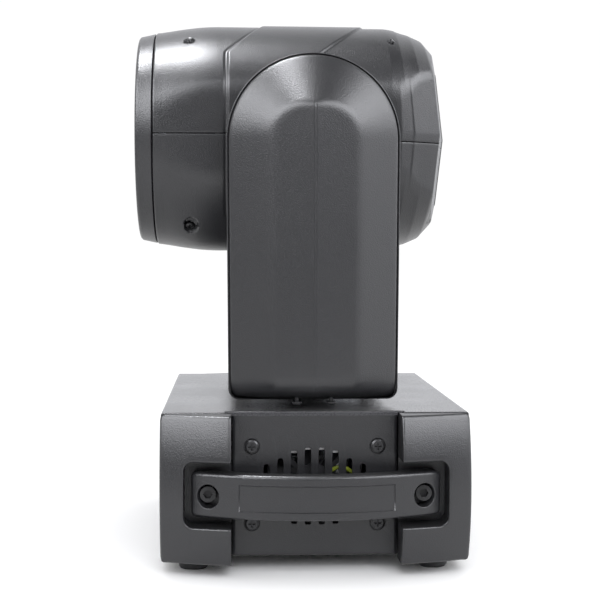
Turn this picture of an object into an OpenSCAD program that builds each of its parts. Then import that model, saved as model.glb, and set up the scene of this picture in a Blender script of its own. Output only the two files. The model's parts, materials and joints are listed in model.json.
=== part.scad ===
// Compact moving head spot light: base with handles, panning yoke, tilting head.
// Origin on the pan axis at the floor, +Z up, lens towards -X, left side towards -Y.

/* [Base] */
// Width of the base across the front and rear panels
base_w = 196; // [190:1:204]
// Length of the top cover, between the front edges of the end covers
base_l = 262; // [256:1:272]
// Height of the top cover above the floor
base_h = 103; // [101:1:106]
// How far the end covers bulge in plan
end_bow = 19; // [15:1:22]
// How far the end covers bulge at half height
end_belly = 10; // [6:1:12]
// Depth of the handle recess between the end blocks, from the top cover's edge
vent_setback = 7; // [5:1:9]

/* [Handles] */
// Overall length of a handle
handle_l = 158; // [150:1:160]
// Height of a handle
handle_h = 28; // [24:1:30]
// How far a handle bows out between its ends
handle_bow = 20; // [16:1:24]
// Thickness of the grip
handle_t = 12; // [9:1:14]

/* [Yoke] */
// Width of an arm
arm_w = 113; // [108:1:116]
// Height of the top of the arms
arm_top = 333; // [328:1:336]
// Bottom of the arms above the floor
arm_bottom = 108; // [107:1:110]
// Distance from the middle to the inner face of an arm
arm_in = 79; // [78:1:81]
// Distance from the middle to the seam between an arm's two covers
arm_seam = 103; // [101:1:104]
// Distance from the middle to the ridge of an arm
arm_out = 131; // [129:1:134]

/* [Head] */
// Height of the tilt axis
tilt_z = 284; // [282:1:286]
// Half width of the head across its flat sides
head_half_w = 74.5; // [72:0.5:75]
// Distance from the tilt axis to the front of the ring
head_front = 118; // [115:1:119]
// Largest radius of the head shells
head_r = 81; // [80:0.2:82]
// Wall thickness of the plastic covers
wall = 2.5; // [2:0.1:3]

/* [Hidden] */
$fn = 72;

charcoal = [0.22, 0.22, 0.23];
dark = [0.12, 0.12, 0.13];
steel = [0.62, 0.63, 0.65];
board_green = [0.10, 0.32, 0.18];

edge_y = base_l / 2;
panel_y = edge_y - vent_setback;
half_w = base_w / 2;
cover_bottom = 8.4;
cover_top = base_h - 0.7;
cover_back = 120;
plate_t = 1.5;
tray_z = 10;
tray_l = 118;
deck_t = 3;

// Plan arc of the end covers, through both front corners
plan_r = (half_w * half_w + end_bow * end_bow) / (2 * end_bow);
plan_cy = edge_y + end_bow - plan_r;
cover_mid = (cover_bottom + cover_top) / 2;
cover_half = (cover_top - cover_bottom) / 2;
belly_r = (cover_half * cover_half + end_belly * end_belly) / (2 * end_belly);

block_in = 53.2;
pocket_x = 82.8;
pocket_z = 53.5;
pocket_h = 41;
handle_z = 53;
handle_end_y = edge_y + 8;
handle_x = handle_l / 2;
handle_r = (handle_x * handle_x + handle_bow * handle_bow) / (2 * handle_bow);
handle_cy = handle_end_y + handle_bow - handle_r;
bolt_x = 67.8;

vent_n = 8;
vent_pitch = 8.8;
vent_w = 4;
vent_z = 55;
vent_screw_x = 40.2;
vent_screw_z = 56;
vent_screw_dz = 24.6;

foot_x = 77.8;
foot_y = 108;
foot_r = 9.5;
bracket_dx = 110;
bracket_dy = 150;

display_y = -28;
display_z = 60;
display_l = 56;
display_h = 32;
button_r = 4.4;
button_z = 60;
button_first = 22;
button_pitch = 15;

inlet_y = -58;
socket_z = 56;
input_y = 24;
output_y = 66;
socket_body_r = 11.6;

shaft_r = 20;
bearing_r = 28;
bridge_z = 59;
pan_pulley_r = 33.5;
pan_pulley_z = 67;
pan_motor_x = -57;
pulley_h = 10;
small_r = 9;
belt_gap = 0.35;
belt_t = 1.5;
motor_w = 42;
motor_shaft_r = 2.5;

arm_r = arm_w / 2;
arm_cz = arm_top - arm_r;
arm_lower_r = 55.3;
arm_inset = 28;
frame_y = 94;
frame_t = 3;
frame_z = 110;
flange_screw_r = 32;
arm_screw_x = 11;
arm_screw_y = arm_seam + 9;
head_screw_r = 77;
tilt_shaft_r = 10;
tilt_bearing_r = 16;
tilt_pulley_r = 28;
tilt_pulley_y = 83.5;
tilt_motor_z = 164;

wheel_r = 34;
wheel_offset = 25;
gobo_x = -12;
colour_x = -5;
fan_w = 60;
fan_t = 14;

module left_right() {
    children();
    mirror([0, 1, 0]) children();
}

// A cylinder along X from x0 to x1
module x_cylinder(x0, x1, r, r2 = -1) {
    translate([x0, 0, 0]) rotate([0, 90, 0]) cylinder(h = x1 - x0, r1 = r, r2 = r2 < 0 ? r : r2);
}

// A cylinder along Y from y0 to y1, and the same with its mouth towards -Y
module y_cylinder(y0, y1, r) {
    translate([0, y1, 0]) rotate([90, 0, 0]) cylinder(h = y1 - y0, r = r);
}

// A plate cut from a shape in X and Z, from y0 to y1
module xz_plate(y0, y1) {
    translate([0, y1, 0]) rotate([90, 0, 0]) linear_extrude(height = y1 - y0) children();
}

module box(x, y, z) {
    translate([x[0], y[0], z[0]]) cube([x[1] - x[0], y[1] - y[0], z[1] - z[0]]);
}

module round_rect(w, h, r) {
    union() {
        square([w - 2 * r, h], center = true);
        square([w, h - 2 * r], center = true);
        for (sx = [-1, 1], sy = [-1, 1])
            translate([sx * (w / 2 - r), sy * (h / 2 - r)]) circle(r = r);
    }
}

// A cross-recessed screw along +Z: head top at z = 0, shank below
module cross_screw(head_r = 4.4, head_h = 2.6, shank_r = 1.9, length = 10) {
    difference() {
        union() {
            translate([0, 0, -head_h]) cylinder(h = head_h - 0.8, r = head_r);
            translate([0, 0, -0.8]) cylinder(h = 0.8, r1 = head_r, r2 = head_r - 1);
            translate([0, 0, -head_h - length]) cylinder(h = length, r = shank_r);
        }
        for (turn = [0, 90])
            rotate([0, 0, turn]) translate([-2.2, -0.45, -1.5]) cube([4.4, 0.9, 2]);
    }
}

// ---- Base ----

module base_tray() {
    color(steel) difference() {
        union() {
            box([-half_w + 4, half_w - 4], [-tray_l, tray_l], [tray_z, tray_z + plate_t]);
            for (side = [-1, 1]) {
                translate([side * (half_w - 4.75), 0, tray_z + 7.5])
                    cube([plate_t, 2 * tray_l, 15], center = true);
                translate([0, side * (tray_l - 0.75), tray_z + 5])
                    cube([2 * (half_w - 6), plate_t, 10], center = true);
            }
        }
        for (sx = [-1, 1], sy = [-1, 1]) {
            translate([sx * foot_x, sy * foot_y, 0]) cylinder(h = 30, r = 2.1);
            translate([sx * bracket_dx / 2, sy * bracket_dy / 2, 0]) cylinder(h = 30, r = 4.5);
        }
        for (i = [-4 : 4])
            translate([i * 7, -88, tray_z - 1]) linear_extrude(height = 5) square([3.4, 22], center = true);
        panel_screw_holes();
    }
}

module base_feet() {
    color(dark) for (sx = [-1, 1], sy = [-1, 1])
        translate([sx * foot_x, sy * foot_y, 0]) difference() {
            union() {
                cylinder(h = 1.2, r1 = foot_r - 1, r2 = foot_r);
                translate([0, 0, 1.2]) cylinder(h = tray_z - 1.2, r = foot_r);
            }
            translate([0, 0, -1]) cylinder(h = 5.6, r = 5);
            cylinder(h = tray_z + 1, r = 2.1);
        }
}

module base_screws() {
    color(dark) {
        for (sx = [-1, 1], sy = [-1, 1])
            translate([sx * foot_x, sy * foot_y, 2]) mirror([0, 0, 1]) cross_screw();
        left_right() for (sx = [-1, 1], sz = [-1, 1])
            translate([sx * vent_screw_x, -panel_y - 2.6, vent_screw_z + sz * vent_screw_dz])
                rotate([90, 0, 0]) cross_screw();
        for (sx = [-1, 1], sy = [-1, 1], z = [18, 92])
            translate([sx * (half_w + 1.2), sy * 108, z]) rotate([0, sx * 90, 0])
                cross_screw(3.2, 1.2, 1.4, 7);
    }
}

module base_top_cover() {
    color(charcoal) difference() {
        union() {
            translate([0, 0, base_h - deck_t]) linear_extrude(height = deck_t) difference() {
                round_rect(base_w - 1, base_l, 3);
                for (side = [-1, 1])
                    translate([0, side * edge_y]) square([2 * block_in + 6, 2 * vent_setback], center = true);
            }
            translate([0, 0, base_h - 9]) cylinder(h = 7, r = 34);
            for (side = [-1, 1])
                translate([side * (half_w - 4.75), 0, base_h - 9]) cube([plate_t, 2 * tray_l, 14], center = true);
        }
        translate([0, 0, base_h - 20]) cylinder(h = 30, r = 30);
        panel_screw_holes();
    }
}

module side_panel_blank() {
    rotate([90, 0, 90]) linear_extrude(height = plate_t) translate([0, 54.7]) round_rect(2 * cover_back - 1, 90, 1.5);
}

module panel_screw_holes() {
    for (sy = [-1, 1], z = [18, 92])
        translate([-half_w - 5, sy * 108, z]) rotate([0, 90, 0]) cylinder(h = 2 * half_w + 10, r = 1.6);
}

module front_panel() {
    color(charcoal) difference() {
        translate([-half_w, 0, 0]) side_panel_blank();
        box([-half_w - 1, -half_w + 3], [display_y - display_l / 2, display_y + display_l / 2],
            [display_z - display_h / 2, display_z + display_h / 2]);
        for (i = [0 : 3])
            translate([0, button_first + i * button_pitch, button_z])
                x_cylinder(-half_w - 1, -half_w + 3, button_r + 0.35);
        panel_screw_holes();
    }
}

module rear_panel() {
    color(charcoal) difference() {
        translate([half_w - plate_t, 0, 0]) side_panel_blank();
        box([half_w - 5, half_w + 5], [inlet_y - 14, inlet_y + 14], [socket_z - 17, socket_z + 17]);
        for (y = [input_y, output_y])
            translate([0, y, socket_z]) x_cylinder(half_w - 5, half_w + 5, socket_body_r + 0.1);
        for (i = [0 : 5])
            translate([0, -16 + i * 5 - 8, socket_z]) box([half_w - 5, half_w + 5], [0, 2.4], [-14, 14]);
        panel_screw_holes();
    }
}

// The bulging outer form of an end, drawn towards -Y and grown inwards by t
module end_form(t) {
    intersection() {
        translate([0, -plan_cy, 0]) rotate_extrude($fn = 180) intersection() {
            translate([plan_r + end_belly - belly_r - t, cover_mid]) circle(r = belly_r, $fn = 180);
            translate([0, cover_bottom]) square([plan_r + end_belly, cover_top - cover_bottom]);
        }
        box([-half_w + t, half_w - t], [-edge_y - 60, -cover_back], [cover_bottom - 1, cover_top + 1]);
    }
}

module pocket_shape(grow) {
    round_rect(2 * (pocket_x + grow), pocket_h + 2 * grow, 6);
}

module end_cover() {
    deck_gap = 0.2;
    color(charcoal) difference() {
        end_form(0);
        difference() {
            intersection() {
                end_form(wall);
                box([-half_w, half_w], [-edge_y - 60, -cover_back + 1], [cover_bottom + wall, cover_top - wall]);
            }
            box([-block_in - 2 * wall, block_in + 2 * wall], [-edge_y - 60, 0], [0, base_h]);
            xz_plate(-edge_y - 60, 0) translate([0, pocket_z]) pocket_shape(wall);
        }
        box([-block_in, block_in], [-edge_y - 60, -panel_y + wall], [0, base_h + 1]);
        box([-34, 34], [-edge_y, 0], [26, 86]);
        box([-block_in, block_in], [-edge_y, 0], [0, tray_z + 1]);
        xz_plate(-edge_y - 60, -panel_y - 3) translate([0, pocket_z]) pocket_shape(0);
        for (sx = [-1, 1]) {
            translate([sx * bolt_x, 0, handle_z]) y_cylinder(-edge_y, 0, 3.2);
            for (sz = [-1, 1])
                translate([sx * vent_screw_x, 0, vent_screw_z + sz * vent_screw_dz]) y_cylinder(-edge_y, 0, 2.1);
        }
        box([-half_w, half_w], [-edge_y - deck_gap, 0], [base_h - deck_t - deck_gap, base_h]);
    }
}

module left_end_cover() { end_cover(); }
module right_end_cover() { mirror([0, 1, 0]) end_cover(); }

// Heights of the slots follow an oval: the middle ones are the tallest
function slot_h(i) = 2 * 25 * sqrt(1 - pow((i - (vent_n - 1) / 2) * vent_pitch / 37, 2));

module vent_panel() {
    color(charcoal) difference() {
        box([-block_in + 0.3, block_in - 0.3], [-panel_y, -panel_y + wall], [tray_z, base_h - deck_t - 0.2]);
        for (i = [0 : vent_n - 1])
            xz_plate(-panel_y - 1, -panel_y + 5)
                translate([(i - (vent_n - 1) / 2) * vent_pitch, vent_z])
                    round_rect(vent_w, slot_h(i), vent_w / 2 - 0.01);
        for (sx = [-1, 1], sz = [-1, 1])
            translate([sx * vent_screw_x, 0, vent_screw_z + sz * vent_screw_dz])
                y_cylinder(-panel_y - 1, -panel_y + 5, 2.1);
    }
}

module left_vent_panel() { vent_panel(); }
module right_vent_panel() { mirror([0, 1, 0]) vent_panel(); }

module handle() {
    grip_top = handle_z + handle_h / 2;
    grip_low = handle_z - handle_h / 2;
    color(charcoal) difference() {
        intersection() {
            union() {
                translate([0, -handle_cy, grip_low]) difference() {
                    cylinder(h = handle_h, r = handle_r, $fn = 180);
                    translate([0, 0, -1]) cylinder(h = handle_h + 2, r = handle_r - handle_t, $fn = 180);
                }
                for (sx = [-1, 1])
                    translate([sx * bolt_x, -panel_y - 9, handle_z]) cube([23, 12, handle_h], center = true);
            }
            xz_plate(-edge_y - 60, -panel_y - 3) translate([0, handle_z]) round_rect(handle_l, handle_h, 2);
        }
        for (sx = [-1, 1]) translate([sx * bolt_x, 0, handle_z]) {
            y_cylinder(-edge_y - 60, -panel_y - 10, 7.2);
            y_cylinder(-edge_y - 60, -panel_y, 3.3);
        }
    }
}

module left_handle() { handle(); }
module right_handle() { mirror([0, 1, 0]) handle(); }

module handle_bolts() {
    color(dark) left_right() for (sx = [-1, 1])
        translate([sx * bolt_x, -panel_y - 10, handle_z]) difference() {
            union() {
                y_cylinder(-6, 0, 5);
                y_cylinder(-1, 14, 3);
            }
            translate([0, -3, 0]) rotate([90, 0, 0]) cylinder(h = 5, r = 2.9, $fn = 6);
        }
}

module display_window() {
    color([0.05, 0.07, 0.10]) box([-half_w - 0.4, -half_w + plate_t],
        [display_y - display_l / 2 + 0.2, display_y + display_l / 2 - 0.2],
        [display_z - display_h / 2 + 0.2, display_z + display_h / 2 - 0.2]);
}

module menu_key(i) {
    color(dark) translate([0, button_first + i * button_pitch, button_z]) {
        x_cylinder(-half_w - 2, -half_w - 1, button_r - 0.8, button_r);
        x_cylinder(-half_w - 1, -half_w + 1.9, button_r);
        x_cylinder(-half_w + 1.8, -half_w + 2.9, button_r + 1.2);
        x_cylinder(-half_w + 2.8, -half_w + 5, 1.6);
    }
}

module menu_button() { menu_key(0); }
module down_button() { menu_key(1); }
module up_button() { menu_key(2); }
module enter_button() { menu_key(3); }

module power_inlet() {
    color(dark) translate([0, inlet_y, socket_z]) difference() {
        union() {
            box([half_w, half_w + 2], [-25, 25], [-20, 20]);
            box([half_w - 24, half_w + 0.1], [-13.8, 13.8], [-16.8, 16.8]);
        }
        difference() {
            box([half_w - 14, half_w + 5], [-12, 12], [-4.5, 12.5]);
            for (y = [-7, 0, 7])
                box([half_w - 15, half_w - 5], [y - 1, y + 1], [y == 0 ? 4 : 1, y == 0 ? 8 : 5]);
        }
        box([half_w - 8, half_w + 5], [-11, 11], [-14.5, -7.5]);
    }
}

module socket_flange() {
    translate([half_w, 0, 0]) rotate([90, 0, 90]) linear_extrude(height = 2) difference() {
        round_rect(26, 31, 3);
        for (s = [-1, 1]) translate([s * 9.5, s * 12]) circle(r = 1.6);
    }
}

// Three contacts on a circle
module socket_contacts(x0, x1, r) {
    for (turn = [0, 120, 240])
        rotate([turn, 0, 0]) translate([0, 0, 5]) x_cylinder(x0, x1, r);
}

module dmx_input() {
    color(dark) translate([0, input_y, socket_z]) difference() {
        union() {
            socket_flange();
            x_cylinder(half_w - 20, half_w + 0.1, socket_body_r);
        }
        difference() {
            x_cylinder(half_w - 13, half_w + 5, 8.2);
            socket_contacts(half_w - 14, half_w - 5, 1.2);
        }
    }
}

module dmx_output() {
    color(dark) translate([0, output_y, socket_z]) difference() {
        union() {
            socket_flange();
            x_cylinder(half_w - 20, half_w + 0.1, socket_body_r);
        }
        difference() {
            x_cylinder(half_w - 13, half_w + 5, 9.6);
            x_cylinder(half_w - 14, half_w + 1, 7.7);
        }
        socket_contacts(half_w - 12, half_w + 5, 1.4);
    }
}

module power_supply() {
    color(steel) difference() {
        box([-60, 60], [50, 108], [tray_z + 4, 50]);
        for (i = [0 : 9])
            translate([-45 + i * 10, 0, 0]) box([-2, 2], [58, 100], [48.5, 52]);
        box([-58, 58], [49, 53], [16, 42]);
    }
    color(steel) for (sx = [-1, 1], y = [62, 96])
        translate([sx * 50, y, tray_z + plate_t]) cylinder(h = 2.5, r = 3.5);
}

module control_board() {
    color(board_green) {
        box([-half_w + 10, -half_w + 11.6], [-66, 80], [26, 94]);
        box([-half_w + 2, -half_w + 10], [display_y - 26, display_y + 26], [display_z - 15, display_z + 15]);
        for (i = [0 : 3])
            translate([0, button_first + i * button_pitch, button_z])
                box([-half_w + 6.4, -half_w + 10], [-3, 3], [-3, 3]);
    }
}

module pan_bridge() {
    color(steel) difference() {
        union() {
            box([-82, 44], [-42, 42], [bridge_z, bridge_z + 3]);
            translate([0, 0, bridge_z - 13]) cylinder(h = 14, r = bearing_r + 3.5);
            for (x = [-76, 38], y = [-36, 36])
                translate([x, y, tray_z + plate_t]) cylinder(h = bridge_z - tray_z - plate_t + 1, r = 4);
        }
        translate([0, 0, bridge_z - 16]) cylinder(h = 15, r = bearing_r);
        translate([0, 0, bridge_z - 16]) cylinder(h = 30, r = shaft_r + 4);
        translate([pan_motor_x, 0, bridge_z - 5]) cylinder(h = 20, r = 11.3);
    }
}

module pan_bearing() {
    color(steel) translate([0, 0, bridge_z - 12.5]) difference() {
        cylinder(h = 11, r = bearing_r);
        translate([0, 0, -1]) cylinder(h = 13, r = shaft_r + 0.05);
        translate([0, 0, 9.5]) difference() {
            cylinder(h = 3, r = bearing_r - 2.5);
            translate([0, 0, -1]) cylinder(h = 5, r = shaft_r + 2.5);
        }
    }
}

// Square stepper motor, shaft up, mounting face at z = 0
module stepper(height) {
    difference() {
        union() {
            translate([0, 0, -height]) linear_extrude(height = height) round_rect(motor_w, motor_w, 5);
            translate([0, 0, -1]) cylinder(h = 3, r = 11);
        }
        translate([0, 0, -height + 4]) cylinder(h = height + 5, r = motor_shaft_r + 0.06);
        translate([0, 0, -height + 8]) linear_extrude(height = height - 16) difference() {
            square(motor_w + 1, center = true);
            round_rect(motor_w - 1.6, motor_w - 1.6, 5);
        }
    }
}

// Toothed pulley with two flanges and its motor's shaft, on z = 0
module motor_pulley(r, height, shaft_below) {
    union() {
        difference() {
            cylinder(h = height, r = r);
            for (i = [0 : 17])
                rotate([0, 0, i * 20]) translate([r, 0, 1]) cylinder(h = height - 2, r = 0.6);
        }
        cylinder(h = 1, r = r + 1.8);
        translate([0, 0, height - 1]) cylinder(h = 1, r = r + 1.8);
        translate([0, 0, -shaft_below]) cylinder(h = shaft_below + height + 1, r = motor_shaft_r);
    }
}

module pan_motor() {
    color(dark) translate([pan_motor_x, 0, bridge_z]) stepper(38);
}

module pan_motor_pulley() {
    color(steel) translate([pan_motor_x, 0, pan_pulley_z]) motor_pulley(small_r, pulley_h, 38);
}

// Closed belt around two circles a distance apart along X
module belt_loop(r1, r2, distance, height) {
    linear_extrude(height = height) difference() {
        hull() {
            circle(r = r1 + belt_t);
            translate([distance, 0]) circle(r = r2 + belt_t);
        }
        hull() {
            circle(r = r1);
            translate([distance, 0]) circle(r = r2);
        }
    }
}

module pan_belt() {
    color(dark) translate([0, 0, pan_pulley_z + 1.4])
        belt_loop(pan_pulley_r + belt_gap, small_r + belt_gap, pan_motor_x, pulley_h - 2.8);
}

// Fan frame and rotor, axis along +Z, frame from z = 0
module fan_frame() {
    difference() {
        linear_extrude(height = fan_t) round_rect(fan_w, fan_w, 4);
        translate([0, 0, -1]) cylinder(h = fan_t + 2, r = 28.6);
        for (sx = [-1, 1], sy = [-1, 1])
            translate([sx * 25, sy * 25, -1]) cylinder(h = fan_t + 2, r = 2.2);
    }
    difference() {
        union() {
            cylinder(h = 2, r = 13);
            for (turn = [45 : 90 : 315])
                rotate([0, 0, turn]) translate([8, -1.5, 0]) cube([21.5, 3, 2]);
            cylinder(h = 5, r = 4);
        }
        translate([0, 0, -1]) cylinder(h = 10, r = 1.55);
    }
}

module fan_rotor() {
    difference() {
        translate([0, 0, 2.6]) cylinder(h = fan_t - 3.4, r = 12.5);
        translate([0, 0, 2]) cylinder(h = 6, r = 5);
    }
    translate([0, 0, 0.6]) cylinder(h = 9, r = 1.5);
    for (i = [0 : 6])
        rotate([0, 0, i * 360 / 7]) translate([12, 0, fan_t / 2 + 1]) rotate([38, 0, 0])
            translate([-0.5, -6, -0.7]) cube([15, 12, 1.4]);
}

module base_fan() {
    color(dark) translate([0, -tray_l + plate_t + 0.2, vent_z]) rotate([-90, 0, 0]) fan_frame();
}

module base_fan_rotor() {
    color(dark) translate([0, -tray_l + plate_t + 0.2, vent_z]) rotate([-90, 0, 0]) fan_rotor();
}

// ---- Yoke ----

module pan_shaft() {
    color(steel) difference() {
        union() {
            translate([0, 0, bridge_z - 14]) cylinder(h = frame_z - bridge_z + 14, r = shaft_r);
            translate([0, 0, base_h + 2]) cylinder(h = frame_z - base_h - 2, r = 40);
        }
        translate([0, 0, 40]) cylinder(h = 90, r = 13);
        for (turn = [45 : 90 : 315])
            rotate([0, 0, turn]) translate([flange_screw_r, 0, frame_z - 4]) cylinder(h = 5, r = 2.1);
    }
}

module pan_pulley() {
    color(steel) translate([0, 0, pan_pulley_z]) difference() {
        union() {
            cylinder(h = pulley_h, r = pan_pulley_r);
            cylinder(h = 1, r = pan_pulley_r + 3);
            translate([0, 0, pulley_h - 1]) cylinder(h = 1, r = pan_pulley_r + 3);
            cylinder(h = pulley_h + 6, r = 25);
        }
        translate([0, 0, -1]) cylinder(h = 30, r = shaft_r + 0.02);
    }
}

module yoke_frame() {
    color(steel) difference() {
        union() {
            box([-46, 46], [-frame_y - frame_t, frame_y + frame_t], [frame_z, frame_z + frame_t]);
            left_right() xz_plate(-frame_y - frame_t, -frame_y) union() {
                translate([-36, frame_z]) square([72, tilt_z - frame_z]);
                translate([0, tilt_z]) circle(r = 36);
            }
        }
        translate([0, 0, 100]) cylinder(h = 20, r = 13);
        left_right() translate([0, 0, tilt_z]) y_cylinder(-frame_y - 10, -frame_y + 10, tilt_bearing_r);
        translate([0, 0, tilt_motor_z]) y_cylinder(-frame_y - 10, -frame_y + 10, 11.3);
        left_right() for (z = [215, 125])
            xz_plate(-frame_y - 10, -frame_y + 10) translate([0, z]) round_rect(30, z > 200 ? 40 : 14, 6);
        for (turn = [45 : 90 : 315])
            rotate([0, 0, turn]) translate([flange_screw_r, 0, 100]) cylinder(h = 20, r = 2.1);
    }
}

module yoke_base_cover() {
    half = 52;
    low = frame_z + frame_t + 0.3;
    top = 137;
    color(charcoal) difference() {
        xz_plate(-arm_in + 0.3, arm_in - 0.3) union() {
            translate([0, (low + top) / 2 + 1]) round_rect(2 * half, top - low - 2, 8);
            translate([-half, low]) square([2 * half, 12]);
        }
        box([-half + wall, half - wall], [-arm_in - 1, arm_in + 1], [90, top - wall - 3]);
    }
}

// Outline of an arm in X and Z, drawn smaller by inset
module arm_outline(inset) {
    low = arm_bottom + inset * 0.35;
    corner = 7;
    union() {
        translate([0, arm_cz]) circle(r = arm_r - inset);
        polygon([
            [-arm_r + inset, arm_cz], [-arm_lower_r + inset, low + corner], [-arm_lower_r + inset + corner, low],
            [arm_lower_r - inset - corner, low], [arm_lower_r - inset, low + corner], [arm_r - inset, arm_cz]
        ]);
    }
}

module arm_inner_cover() {
    seam = arm_seam - 0.15;
    color(charcoal) difference() {
        xz_plate(-seam, -arm_in) arm_outline(0);
        xz_plate(-seam - 1, -arm_in - wall) arm_outline(wall);
        translate([0, 0, tilt_z]) y_cylinder(-arm_in - 5, -arm_in + 5, 13);
        box([-46.5, 46.5], [-arm_in - 5, -arm_in + 5], [frame_z - 0.5, frame_z + frame_t + 0.5]);
    }
}

module left_arm_inner_cover() { arm_inner_cover(); }
module right_arm_inner_cover() { mirror([0, 1, 0]) arm_inner_cover(); }

// Solid form of an outer cover, smaller by t, with a ridge down the middle
module arm_cover_form(t) {
    hull($fn = 48) {
        xz_plate(-arm_seam - 4 + t / 2, -arm_seam) arm_outline(t);
        xz_plate(-arm_out + 6 + t, -arm_seam) arm_outline(arm_inset);
        translate([-0.5, -arm_out + t, arm_bottom + 12]) cube([1, 2, arm_top - arm_inset - arm_bottom - 14]);
    }
}

module arm_outer_cover() {
    color(charcoal) difference() {
        arm_cover_form(0);
        translate([0, 0.01, 0]) arm_cover_form(wall);
        for (x = [-arm_screw_x, arm_screw_x])
            translate([x, -arm_screw_y, 90]) cylinder(h = 30, r = 1.6);
    }
}

module left_arm_outer_cover() { arm_outer_cover(); }
module right_arm_outer_cover() { mirror([0, 1, 0]) arm_outer_cover(); }

module tilt_motor() {
    color(dark) translate([0, -frame_y - frame_t, tilt_motor_z]) rotate([-90, 0, 0]) stepper(22);
}

module tilt_motor_pulley() {
    color(steel) translate([0, -tilt_pulley_y - 8.5, tilt_motor_z]) rotate([-90, 0, 0])
        motor_pulley(small_r, 8, 16);
}

module tilt_belt() {
    color(dark) translate([0, -tilt_pulley_y - 7, tilt_z]) rotate([-90, 90, 0])
        belt_loop(tilt_pulley_r + belt_gap, small_r + belt_gap, tilt_z - tilt_motor_z, 5.4);
}

module tilt_bearings() {
    color(steel) left_right() translate([0, 0, tilt_z]) difference() {
        y_cylinder(-frame_y - frame_t - 3, -frame_y, tilt_bearing_r);
        y_cylinder(-frame_y - 10, -frame_y + 10, tilt_shaft_r + 0.05);
    }
}

module yoke_screws() {
    color(dark) {
        left_right() for (x = [-arm_screw_x, arm_screw_x])
            translate([x, -arm_screw_y, arm_bottom - 2.1]) mirror([0, 0, 1]) cross_screw(3.2, 2, 1.4, 7);
        for (turn = [45 : 90 : 315])
            rotate([0, 0, turn]) translate([flange_screw_r, 0, frame_z + frame_t + 2.6]) cross_screw(4, 2.6, 2, 5);
    }
}

// ---- Head ----

module tilt_shafts() {
    color(steel) left_right() translate([0, 0, tilt_z]) difference() {
        union() {
            y_cylinder(-101, -66, tilt_shaft_r);
            y_cylinder(-70, -66, 24);
        }
        y_cylinder(-110, -60, 6);
    }
}

module tilt_pulley() {
    color(steel) translate([0, -tilt_pulley_y - 8.5, tilt_z]) rotate([-90, 0, 0]) difference() {
        union() {
            cylinder(h = 8, r = tilt_pulley_r);
            cylinder(h = 1, r = tilt_pulley_r + 2.5);
            translate([0, 0, 7]) cylinder(h = 1, r = tilt_pulley_r + 2.5);
        }
        translate([0, 0, -1]) cylinder(h = 10, r = tilt_shaft_r + 0.02);
        for (i = [0 : 5])
            rotate([0, 0, i * 60]) translate([19, 0, -1]) cylinder(h = 10, r = 5);
    }
}

module head_chassis() {
    color(steel) translate([0, 0, tilt_z]) difference() {
        union() {
            left_right() xz_plate(-66, -64) union() {
                square([128, 56], center = true);
                circle(r = 32);
            }
            for (x = [gobo_x + 14, 38])
                box([x, x + 2], [-64.5, 64.5], [-40, 40]);
        }
        left_right() y_cylinder(-70, -60, 6);
        x_cylinder(gobo_x, gobo_x + 20, 13);
        for (s = [-1, 1]) translate([0, s * wheel_offset, 0]) x_cylinder(gobo_x, gobo_x + 20, 5);
        x_cylinder(30, 45, 19);
    }
}

// Radius of the shells along the head, grown inwards by t
function head_profile(t) = [
    [-106, 74.3 - t], [-97, 76 - t], [-84, 78 - t], [-70, 79.6 - t], [-50, 80.4 - t], [-20, head_r - t],
    [10, 80.7 - t], [38, 79.4 - t], [62, 78 - t], [71, 74.9 - t], [80, 70 - t], [87.5 - t * 0.5, 61 - t],
    [92.5 - t, 47 - t], [98 - t, 6]
];

module head_form(t, x0) {
    intersection() {
        rotate([0, 90, 0]) rotate([0, 0, 90]) rotate_extrude($fn = 120)
            polygon(concat([for (p = head_profile(t)) [p[1], p[0]]], [[0, 98 - t], [0, -106]]));
        box([x0, 100], [-head_half_w + t, head_half_w - t], [-90, 90]);
    }
}

// Places of the screws that enter the shells square to their surface, with +Z outward
module at_head_screws() {
    for (x = [-82, 58], turn = [55, 125, 235, 305])
        rotate([turn, 0, 0]) translate([x, head_screw_r, 0]) rotate([-90, 0, 0]) children();
}

module head_shell() {
    difference() {
        head_form(0, -106);
        head_form(wall, -107);
        y_cylinder(-90, 90, 12.5);
        for (i = [0 : 6])
            translate([0, -30 + i * 10, 0]) box([80, 100], [-2, 2], [26, 44]);
        for (i = [0 : 6])
            translate([0, -30 + i * 10, 0]) box([80, 100], [-2, 2], [-44, -26]);
        at_head_screws() {
            translate([0, 0, -9]) cylinder(h = 9, r = 1.45);
            translate([0, 0, -2.1]) cylinder(h = 12, r = 3.2);
        }
    }
}

module upper_head_shell() {
    color(charcoal) translate([0, 0, tilt_z]) intersection() {
        head_shell();
        box([-110, 100], [-90, 90], [0.15, 90]);
    }
}

module lower_head_shell() {
    color(charcoal) translate([0, 0, tilt_z]) intersection() {
        head_shell();
        box([-110, 100], [-90, 90], [-90, -0.15]);
    }
}

module front_ring() {
    color(charcoal) translate([0, 0, tilt_z]) difference() {
        x_cylinder(-head_front, -106.4, 72.2, 74.2);
        x_cylinder(-head_front - 1, -110, 62, 50);
        x_cylinder(-head_front - 1, -106, 50.3);
    }
}

module front_lens() {
    color([0.75, 0.85, 0.9, 0.4]) translate([0, 0, tilt_z]) union() {
        x_cylinder(-111, -108.5, 46, 50);
        x_cylinder(-108.5, -106.4, 50);
        x_cylinder(-106.4, -103, 54);
    }
}

module led_module() {
    color(steel) translate([0, 0, tilt_z]) difference() {
        union() {
            x_cylinder(20, 40, 15, 18);
            box([40, 42.5], [-26, 26], [-26, 26]);
        }
        x_cylinder(18, 38, 12, 14);
    }
}

module heatsink() {
    color(steel) translate([0, 0, tilt_z]) union() {
        box([42.5, 48], [-45, 45], [-38, 38]);
        for (i = [0 : 14])
            translate([0, -42 + i * 6, 0]) box([47.5, 68], [-1, 1], [-38, 38]);
    }
}

module head_fan() {
    color(dark) translate([69, 0, tilt_z]) rotate([0, 90, 0]) fan_frame();
}

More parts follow.
